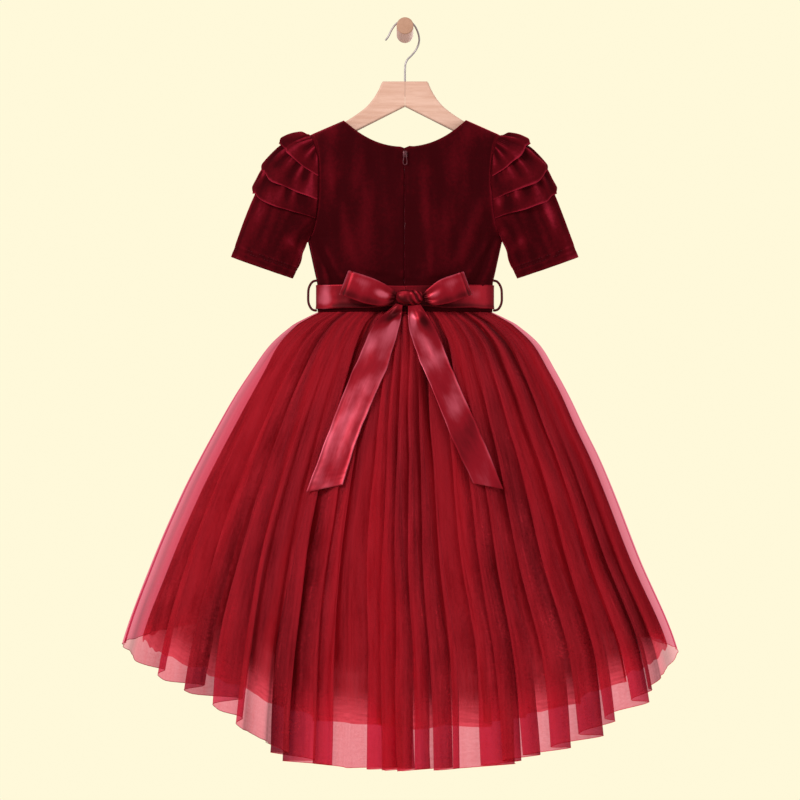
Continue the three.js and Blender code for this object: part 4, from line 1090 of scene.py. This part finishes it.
def bowLoop(name, lean, stations, glints):
    last = stations[-1]["place"]
    middleY = (bow["frontY"] + bow["backY"]) / 2
    bm = newMesh()

    def pointAt(u, v):
        along, across = 2 * last * u, 2 * v - 1
        place = along if along < last else 2 * last - along
        behind = along < last
        half = tableAt(stations, place, "wide") / 2
        fold = clamped((last - place) / 0.5)
        open_ = tableAt(stations, place, "open") * sqrt(clamped(1 - (1 - fold) ** 2))
        pinch = ridge(place, 0, 1.3)
        pleat = 1.2 * cos(2.5 * pi * across + (0.6 if behind else 0)) * pinch
        cup = 1.5 * (1 - across * across) * eased(place, 0.4, 2)
        soft = 0.8 * wander(place * 1.1, across * 1.3, 3 if behind else 8) * eased(place, 0.3, 1.5) * fold
        x = tableAt(stations, place, "x") - lean * across * half
        z = tableAt(stations, place, "z") - across * half
        z += (1.0 if behind else -0.8) * eased(place, 1, 3)
        out = open_ + cup * fold * (0.3 if behind else 1) - (0 if behind else 0.6) + soft
        return Vector((x, middleY + (out if behind else -out) + pleat * (1 if behind else -1), z))

    def toneAt(u, v):
        along, across = 2 * last * u, 2 * v - 1
        place = along if along < last else 2 * last - along
        # Painted light and shade: highlights at the glints, on the outer fold and on both edges, and shade at
        # the knot, along the lower edge and in a line just inside the fold.
        lit = glintsAt(glints, place, across)
        dark = 0.7 * ridge(place, 0.1, 0.6) + 0.4 * ridge(across, 0.75, 0.35) * eased(place, 0.6, 1.6)
        rim = 0.6 * ridge(place, last, 0.09) + 0.35 * ridge(across, -1, 0.07) + 0.3 * ridge(across, 1, 0.05)
        strip = -0.5 * ridge(place, last - 0.28, 0.05)  # painted shade in a line where the far side of the ribbon shows past the fold
        return lit - dark + rim + strip + 0.1 * wander(place * 1.7, across * 1.2, 4) + 0.04

    addSheet(bm, *bow["grid"], pointAt, bow["cloth"], toneAt)
    return finishPiece(
        f"satin_{name}", bm, satin, "satin", [name],
        outward=lambda p: Vector((0, p.y - middleY, 0)), thick=bow["wall"],
    )


def bowKnot():
    bm = newMesh()
    across = Matrix.Rotation(pi / 2, 4, "Y")
    bmesh.ops.create_uvsphere(
        bm, u_segments=knot["segments"], v_segments=knot["rings"], radius=1, matrix=across,
    )
    tone, cloth = bm.verts.layers.float["tone"], bm.verts.layers.float_vector["cloth"]
    depth = (knot["backY"] - knot["frontY"]) / 2
    middleY = (knot["backY"] + knot["frontY"]) / 2
    for vert in bm.verts:
        p = vert.co.copy()
        angle = atan2(p.z, -p.y)
        x = knot["x"] + squarer(p.x, knot["fullness"]) * knot["halfWidth"]
        y = middleY + squarer(p.y, knot["fullness"]) * depth
        z = knot["z"] + squarer(p.z, knot["fullness"]) * knot["halfHeight"]
        rope = eased(x, knot["x"] - 2, knot["x"] + 5)
        twist = sin((x * 0.62 + angle * 3.4) * 1.15 + 0.8 * wander(x / 9, angle))
        band = sin(angle * 4 + x / 5 + 1.5 * wander(x / 8, angle * 1.4, 5)) * (1 - rope)
        ends = 1 - abs(p.x) ** 6
        sink = (1.2 - 1.2 * twist) * rope * ends + (0.7 + 0.5 * band) * (1 - rope) * ends
        groove = 1.3 * ridge(x, knot["x"] + 0.5, 1.4)
        inward = Vector((0, middleY - y, knot["z"] - z))
        inward = inward.normalized() if abs(inward.y) + abs(inward.z) > 0.01 else Vector()
        # Painted light and shade: the twisted rope lighter on its crests and darker in its grooves, and the
        # wrapped band darker all over, with light and dark bands and a painted highlight on its upper front.
        wrapped = 0.35 * ridge(angle, 0.6, 0.4) - 0.4 + 0.2 * band
        vert[tone] = (0.4 * twist - 0.2) * rope + (1 - rope) * wrapped
        vert[cloth] = (angle * 10 * mm, x * mm, 0)
        vert.co = (Vector((x, y, z)) + inward * (sink + groove * ends)) * mm
    return finishPiece("satin_bow_knot", bm, satin, "satin", ["bow_knot"])


# Bow tails: the two edges of the ribbon from the knot down to its slanted end.
bowTails = {
    "bow_tail_left": rowsOf(
        "place leftX leftZ rightX rightZ", (0, -12, -385.6, -3.5, -388.1), (1, -41, -413, -7, -413),
        (2, -61, -456, -23, -470), (3, -83, -509, -44, -520), (4, -107, -574, -66, -576),
        (5, -131.7, -641, -83, -631),
    ),
    "bow_tail_right": rowsOf(
        "place leftX leftZ rightX rightZ", (0, 4, -388.9, 21, -386.9), (1, 6, -423, 39, -416),
        (2, 19, -463, 58, -463), (3, 37, -506, 77, -510), (4, 61, -566, 102, -566), (5, 90, -629, 130, -637),
    ),
}
tailLook = {"lift": 2.0, "wall": 0.6, "grid": (36, 170), "cloth": (42, 260)}
# Painted highlights on a tail, and painted shade where it lies under the knot
tailGlints = {
    "bow_tail_left": rowsOf(
        "lit along long across wide", (0.8, 1.05, 0.22, 0.72, 0.13), (-0.6, 0.72, 0.3, 0.55, 0.2),
    ),
    "bow_tail_right": rowsOf(
        "lit along long across wide", (0.9, 0.6, 0.3, 0.22, 0.14), (-0.7, 0.75, 0.22, 0.68, 0.2),
        (0.5, 1.5, 0.35, 0.4, 0.25),
    ),
}


def bowTail(name, side):
    stations = bowTails[name]
    last = stations[-1]["place"]
    bm = newMesh()

    def onSkirt(x, z, place):
        lift = tailLook["lift"] + 1.6 * max(0, 1 - abs(place - 1))
        drop = max(skirtTopZ - z, 0)
        halfWidth = tableAt(skirtSections, drop, "halfWidth")
        turn = asin(clamped(x / halfWidth, -1, 1))
        return skirtBase(turn, min(z, skirtTopZ), -lift)[0].y

    def reliefAt(u, place):
        fold = 4.2 * ridge(u, 0.5 + side * 0.12 * sin(place * 1.3), 0.22) * ridge(place, 0, 1.7)
        swollen = 2.0 * (0.5 + 0.5 * sin(place * 2.1 + side + 2.2 * u)) * eased(place, 0.6, 2)
        lengthways = 1.6 * (0.5 + 0.5 * wander(u * 3.2 + side * 4, place * 0.8)) * eased(place, 0.5, 2)
        wrinkles = 0.5 * (0.5 + 0.5 * wander(u * 2.5, place * 14, 6 + side)) * eased(place, 3.6, 4.8)
        edges = 0.9 * max(ridge(u, 0, 0.06), ridge(u, 1, 0.06))
        return fold + swollen + lengthways + wrinkles + edges

    def pointAt(u, v):
        place = v * last
        ragged = 1.2 * wander(place * 2.6, side * 3 + (0 if u < 0.5 else 7)) * eased(place, 0.5, 1.5)
        x = mixed(tableAt(stations, place, "leftX"), tableAt(stations, place, "rightX"), u) + ragged
        z = mixed(tableAt(stations, place, "leftZ"), tableAt(stations, place, "rightZ"), u)
        atKnot = 1 - eased(place, 0, 1.2)
        y = mixed(onSkirt(x, z, place), knot["frontY"] + 10, atKnot)
        return Vector((x, y - reliefAt(u, place) * eased(place, 0, 0.5), z))

    def toneAt(u, v):
        place = v * last
        # Painted light and shade: broad patches of painted sheen, the glints, the left tail lighter and the
        # right darker further down, highlights on both edges, and shade under the knot.
        patches = 0.5 * wander(u * 0.9 + side * 5 + place * 0.6, place * 0.9, 3)
        patches += 0.12 * wander(u * 3, place * 2.4, side)
        top = glintsAt(tailGlints[name], place, u)
        low = 0.06 + 0.08 * eased(place, 2.2, 3.4) if side < 0 else 0.1 - 0.25 * eased(place, 2.2, 4)
        edges = 0.3 * max(ridge(u, 0, 0.035), ridge(u, 1, 0.035))
        return top + low + patches + edges + 0.1 - 0.3 * (1 - eased(place, 0.2, 1.2))

    addSheet(bm, *tailLook["grid"], pointAt, tailLook["cloth"], toneAt)
    return finishPiece(
        f"satin_{name}", bm, satin, "satin", [name], outward=lambda p: backwards, thick=tailLook["wall"],
    )


sashPiece = sashRing()
loopPieces = [bowLoop(name, **loop) for name, loop in bowLoops.items()]
knotPiece = bowKnot()
tailPieces = [bowTail("bow_tail_left", -1), bowTail("bow_tail_right", 1)]
print("sash and bow made")


# Belt loops of thin rolled cord
beltLoop = {
    "radius": 1.7, "topZ": -351, "bottomZ": -393.8, "startX": 121.5, "outX": 135.5, "grid": (20, 70),
    "route": ((0, 0), (0.55, 0.05), (0.92, 0.24), (1, 0.5), (0.95, 0.76), (0.62, 0.95), (0.1, 1)),
}


def beltLoopPiece(name, side):
    look, points = beltLoop, []
    for out, down in look["route"]:
        x = mixed(look["startX"], look["outX"], out)
        points.append((side * x, hangPlaneY, mixed(look["topZ"], look["bottomZ"], down)))
    place, length = routeThrough(points)
    bm = newMesh()
    addBar(bm, place, length, look["radius"], *look["grid"])
    finishPiece(f"corded_belt_loop_{name}", bm, thread, "velvet", [f"belt_loop_{name}"], weld=True)


for name, side in (("left", -1), ("right", 1)):
    beltLoopPiece(name, side)


# Zip: coil behind the middle back seam, tape, slider and pull
zipLook = {
    "tapeHalfWidth": 8, "tapeBack": 1.2, "tapeWall": 0.6, "tapeTopRise": 1.492, "tapeBottomRise": 0.01,
    "tapeGrid": (24, 90), "tapeCloth": (16, 230), "sliderZ": -178,
    "coilPitch": 1.3, "coilRadius": 0.75, "coilHalfWide": 0.5, "coilDeep": 1.9, "coilAside": 0.55,
    "coilOpens": 0.35, "coilTopGap": 1.5, "coilBottomGap": 8,
    "wire": 0.28, "wireSides": 4, "turnSteps": 10, "wireCloth": (2, 230),
}


def riseAt(z):
    if z <= bodice["underarmZ"]:
        return (z - bodice["hemZ"]) / (bodice["underarmZ"] - bodice["hemZ"])
    return 1 + (z - bodice["underarmZ"]) / (bodice["backNeckZ"] - bodice["underarmZ"]) / 2


def backDepth(z):
    return bodicePoint(0, riseAt(z), bodice["backNeckZ"], 0)[2]


def zipTape():
    bm = newMesh()

    def pointAt(u, v):
        across, rise = 2 * u - 1, mixed(zipLook["tapeTopRise"], zipLook["tapeBottomRise"], v)
        x, z, depth = bodicePoint(0, rise, bodice["backNeckZ"], 0)
        dip = abs(across) * 0.5 + 1.3 * ridge(across, 0, 0.25)
        return Vector((across * zipLook["tapeHalfWidth"], hangPlaneY - depth + zipLook["tapeBack"] + dip, z))

    addSheet(bm, *zipLook["tapeGrid"], pointAt, zipLook["tapeCloth"])
    finishPiece(
        "zip_tape_woven", bm, thread, "velvet", ["zip_tape"],
        outward=lambda p: backwards, thick=-zipLook["tapeWall"],
    )


def zipCoil():
    bm = newMesh()
    topZ, bottomZ = bodice["backNeckZ"] - zipLook["coilTopGap"], bodice["hemZ"] + zipLook["coilBottomGap"]
    turns = int((topZ - bottomZ) / zipLook["coilPitch"])
    for side in (-1, 1):

        def pointAt(u, v):
            around, spin = 2 * pi * turns * v, 2 * pi * u
            z = mixed(topZ, bottomZ, v)
            out = Vector((cos(around), sin(around), 0))
            opened = zipLook["coilOpens"] * eased(z, zipLook["sliderZ"], topZ)
            x = side * (zipLook["coilAside"] + opened + zipLook["coilHalfWide"] * out.x)
            y = hangPlaneY - backDepth(z) + zipLook["coilDeep"] + zipLook["coilRadius"] * out.y
            return Vector((x, y, z)) + (out * cos(spin) + upwards * sin(spin)) * zipLook["wire"]

        addSheet(bm, zipLook["wireSides"], turns * zipLook["turnSteps"], pointAt, zipLook["wireCloth"])
    finishPiece("zip_coil", bm, zipMetal, "zip_metal", weld=True)


slider = {
    "halfWidth": 3, "height": 9, "thick": 2.2, "bevel": 0.9, "standsOff": 1.5,
    "bridge": {
        "length": 6.4, "halfWide": 0.6, "thick": 0.8, "clear": 1.9, "bend": 0.8, "sunk": 0.3, "corner": 0.7,
        "grid": (12, 40), "cloth": (3, 10),
    },
}
sliderBackY = hangPlaneY - backDepth(zipLook["sliderZ"] - slider["height"] / 2)
sliderBackY -= slider["standsOff"] + seamGap


def zipSlider():
    bm = newMesh()
    bridge, thick, z = slider["bridge"], slider["thick"], zipLook["sliderZ"]
    block = bmesh.ops.create_cube(bm, size=1)["verts"]
    bmesh.ops.scale(bm, vec=Vector((2 * slider["halfWidth"], thick, slider["height"])) * mm, verts=block)
    bmesh.ops.translate(bm, vec=Vector((0, sliderBackY - thick / 2, z)) * mm, verts=block)
    bmesh.ops.bevel(
        bm, geom=bm.edges[:], offset=slider["bevel"] * mm, affect="EDGES", segments=3, profile=0.5,
        material=-1,
    )
    reach = (bridge["length"] - bridge["thick"]) / 2
    outY = sliderBackY - thick - bridge["clear"] - bridge["thick"] / 2
    inY = sliderBackY - thick + bridge["sunk"]
    half = [(inY, reach), (outY + bridge["corner"], reach), (outY, reach - bridge["bend"]), (outY, 0)]
    place, length = routeThrough([(0, y, z + up) for y, up in half + [(y, -up) for y, up in half[-2::-1]]])

    def pointAt(u, v):
        aside = Vector((1, 0, 0))
        out = directionAt(place, v, 0.01).cross(aside)
        spin = 2 * pi * u
        wide = aside * (bridge["halfWide"] * cos(spin))
        return place(v) + wide + out * (bridge["thick"] / 2 * sin(spin))

    addSheet(bm, *bridge["grid"], pointAt, bridge["cloth"])
    finishPiece("zip_slider_body", bm, zipMetal, "zip_metal", ["zip_slider"], weld=True)


pull = {
    "length": 16, "halfWidth": 3.2, "thick": 0.9, "rim": 1, "fullness": 0.6, "topHalf": 1.0,
    "neck": (1.5, -0.8), "flank": (0.75, 6.5), "hip": 1.5, "tipSteps": 8,
    "grid": (16, 160), "cloth": (4, 40),
}
pullAxis = Vector((0, sliderBackY - slider["thick"] - slider["bridge"]["clear"] / 2, zipLook["sliderZ"]))


def zipPull():
    # A flat teardrop ring: a bar of rounded section round the drop's outline.
    bm = newMesh()
    inset = pull["rim"] / 2
    widest = inset - pull["length"] + pull["halfWidth"]
    wide = pull["halfWidth"] - inset
    flank, up = pull["flank"]
    side = [(pull["topHalf"], 0), pull["neck"], (wide * flank, widest + up), (wide, widest + pull["hip"])]
    mirrored = [(-x, z) for x, z in side[::-1]]
    turns = [-pi * k / pull["tipSteps"] for k in range(pull["tipSteps"] + 1)]
    tip = [(wide * cos(turn), widest + wide * sin(turn)) for turn in turns]
    outline = [mirrored[-1], (0, 0), *side, *tip, *mirrored]
    place, length = routeThrough([(x, 0, z) for x, z in outline])

    def pointAt(u, v):
        step = 0.004
        along = directionAt(place, v, step) if step < v < 1 - step else Vector((1, 0, 0))
        out = along.cross(forwards)
        spin = 2 * pi * u
        half = forwards * (pull["thick"] / 2 * squarer(sin(spin), pull["fullness"]))
        return pullAxis + place(v) + out * (inset * squarer(cos(spin), pull["fullness"])) + half

    addSheet(bm, *pull["grid"], pointAt, pull["cloth"])
    finishPiece("zip_pull_drop", bm, zipMetal, "zip_metal", ["zip_pull"], weld=True, body="pull")


zipTape()
zipCoil()
zipSlider()
zipPull()
print("zip made")


# Hanger, its hook and the peg
hanger = {
    "thick": 10, "bevel": 2.6, "bevelRows": 5, "steps": 40, "joinTop": (0.15, -73),
    "joinBottom": (0.15, -108),
    "upper": (
        (32, -73), (36, -83), (43.5, -96), (52.5, -107), (62.4, -115.4), (76.7, -125.1), (90, -133.1),
        (110, -142.1), (128, -150.1),
    ),
    "tip": ((130.4, -152.6), (130.8, -156.2), (130.2, -160), (128.8, -162)), "lower": ((67.5, -142),),
}


def hangerHalf(name, side):
    bm = newMesh()
    route = routeThrough([(x, 0, z) for x, z in hanger["upper"]])[0]
    steps = hanger["steps"]
    firstX, firstZ = hanger["upper"][0]
    plate = (firstX - 1, firstZ)
    upper = [(p.x, p.z) for p in (route(n / steps) for n in range(1, steps + 1))]
    outline = [hanger["joinTop"], plate, *upper, *hanger["tip"], *hanger["lower"], hanger["joinBottom"]]
    y = hangPlaneY - hanger["thick"] / 2
    front = bm.faces.new([bm.verts.new(Vector((side * x, y, z)) * mm) for x, z in outline])
    moved = bmesh.ops.extrude_face_region(bm, geom=[front])["geom"]
    moved = [part for part in moved if isinstance(part, bmesh.types.BMVert)]
    bmesh.ops.translate(bm, vec=Vector((0, hanger["thick"] * mm, 0)), verts=moved)
    bmesh.ops.recalc_face_normals(bm, faces=bm.faces[:])
    rims = []  # every edge round the two faces, but not where the halves are glued
    for edge in bm.edges:
        a, b = (vert.co for vert in edge.verts)
        if abs(a.y - b.y) < 1e-6 and max(abs(a.x), abs(b.x)) >= 1 * mm:
            rims.append(edge)
    bmesh.ops.bevel(
        bm, geom=rims, offset=hanger["bevel"] * mm, affect="EDGES", segments=hanger["bevelRows"],
        profile=0.5, material=-1,
    )
    return finishPiece(f"beech_{name}", bm, wood, "wood", [name], smooth=False)


hook = {
    "radius": 1.3, "grid": (20, 260),
    "route": (
        (0, -94.5), (0, -73), (0, -58), (0.8, -48), (3.6, -42), (8, -37.5), (13, -32), (17.2, -25),
        (19.8, -17), (19.4, -9), (16.6, -0.5), (12.4, 6.6), (6.6, 11.6), (0, 13.5), (-7, 11.6),
        (-13.2, 7), (-17.6, 1.4), (-21, -5), (-24, -11), (-27.6, -15.4),
    ),
}


def hangerHook():
    place, length = routeThrough([(x, hangPlaneY, z) for x, z in hook["route"]])
    bm = newMesh()
    addBar(bm, place, length, hook["radius"], *hook["grid"])
    finishPiece("steel_hook", bm, steel, "steel", ["hanger_hook"], weld=True)


peg = {"radius": 11.7, "length": 70, "edge": 1.5, "backEdge": 0.4, "crown": 0.3, "segments": 96}


def wallPeg():
    bm = newMesh()
    r, length, edge, backEdge = peg["radius"], peg["length"], peg["edge"], peg["backEdge"]
    # Its profile as radius and distance from the wall: back face, turned side, rounded edge and cut end
    profile = [(0, 0), (r - backEdge, 0), (r, backEdge)]
    profile += [(r, length * k / 8) for k in range(1, 7)]
    for k in range(7):
        turn = pi / 2 * (1 - k / 6)
        profile.append((r - edge + edge * sin(turn), length - edge + edge * cos(turn)))
    profile += [(r / 2, length + peg["crown"] * 5 / 6), (0, length + peg["crown"])]
    verts = [bm.verts.new(Vector((radius, -along, 0)) * mm) for radius, along in profile]
    edges = [bm.edges.new(pair) for pair in zip(verts, verts[1:])]
    bmesh.ops.spin(
        bm, geom=verts + edges, cent=(0, 0, 0), axis=(0, 1, 0), angle=2 * pi, steps=peg["segments"],
        use_merge=True,
    )
    finishPiece("beech_wall_peg", bm, endGrain, "wood", ["wall_peg"], weld=True)


hangerHalves = [hangerHalf("hanger_half_left", -1), hangerHalf("hanger_half_right", 1)]
hangerHook()
wallPeg()
print("hanger made")


# Floor, light and camera
studio = {
    "floor": {"radius": 1.3, "segments": 96, "centre": (0, -0.2, -1.4)},
    "lamps": rowsOf(
        "name place size power colour",
        ("key", (-1.5, -1.9, 0.9), 0.9, 43, (1.0, 0.97, 0.93)),
        ("fill", (1.9, -1.7, -0.3), 1.4, 13, (1.0, 0.95, 0.92)),
        ("back", (0.6, 1.9, 0.5), 1.4, 16, (1.0, 0.96, 0.9)),
    ),
    "lampTarget": (0, -0.1, -0.5), "page": (1.0, 0.945, 0.70),
    "surround": (0.96, 0.93, 0.88), "ambient": 0.52,
    "camera": (-0.007, -2.79, -0.5186), "lens": 88.4, "sensor": 36, "throughNet": 28,
}


def floorDisk():
    bm = newMesh()
    look = studio["floor"]
    bmesh.ops.create_circle(
        bm, cap_ends=True, segments=look["segments"], radius=look["radius"],
        matrix=Matrix.Translation(look["centre"]),
    )
    mesh = bpy.data.meshes.new("floor")
    bm.to_mesh(mesh)
    bm.free()
    disk = bpy.data.objects.new("floor", mesh)
    disk.data.materials.append(floorShader())
    bpy.context.collection.objects.link(disk)


def softLight(name, place, size, power, colour):
    lamp = bpy.data.lights.new(name, "AREA")
    lamp.shape = "DISK"
    lamp.size = size
    lamp.energy = power
    lamp.color = colour
    light = bpy.data.objects.new(name, lamp)
    light.location = place
    light.rotation_euler = (Vector(studio["lampTarget"]) - Vector(place)).to_track_quat("-Z", "Y").to_euler()
    bpy.context.collection.objects.link(light)


class Surround(Shader):
    # The world's nodes are made in the same way as a material's.
    def __init__(self, world):
        world.use_nodes = True
        self.tree = world.node_tree
        self.main = self.tree.nodes["Background"]
        self.end = self.tree.nodes["World Output"]


floorDisk()
for lamp in studio["lamps"]:
    softLight(**lamp)

world = bpy.data.worlds.new("studio")
bpy.context.scene.world = world
surround = Surround(world)
surround.paint("Color", (*studio["surround"], 1))
surround.paint("Strength", studio["ambient"])
page = surround.node("ShaderNodeBackground", {}, {"Color": (*studio["page"], 1)})
seen = surround.node("ShaderNodeLightPath", {}, {}, "Is Camera Ray")
choice = surround.mixShader(seen, Flow(surround, surround.main.outputs[0]), page)
surround.feed(surround.end.inputs["Surface"], choice)

camera = bpy.data.objects.new("camera", bpy.data.cameras.new("camera"))
camera.location = studio["camera"]
camera.rotation_euler = (pi / 2, 0, 0)
camera.data.sensor_width = studio["sensor"]
camera.data.lens = studio["lens"]
bpy.context.collection.objects.link(camera)
scene = bpy.context.scene
scene.camera = camera
scene.view_settings.view_transform = "Standard"
scene.cycles.transparent_max_bounces = studio["throughNet"]
print("stage made")


# What each piece of cloth was cut to, flat: width, length and area, in metres
skirtCuts = {
    ("tulle_outer", -1): (1.75, 0.6, 0.8), ("tulle_outer", 1): (1.4, 0.46, 0.5),
    ("tulle_inner", -1): (0.85, 0.55, 0.35), ("tulle_inner", 1): (0.72, 0.43, 0.25),
    ("lining", -1): (0.72, 0.48, 0.255), ("lining", 1): (0.62, 0.4, 0.195),
}
for (key, face), piece in skirtPieces.items():
    edges = [hemEdges[face]] if key == "tulle_outer" else []
    width, length, area = skirtCuts[key, face]
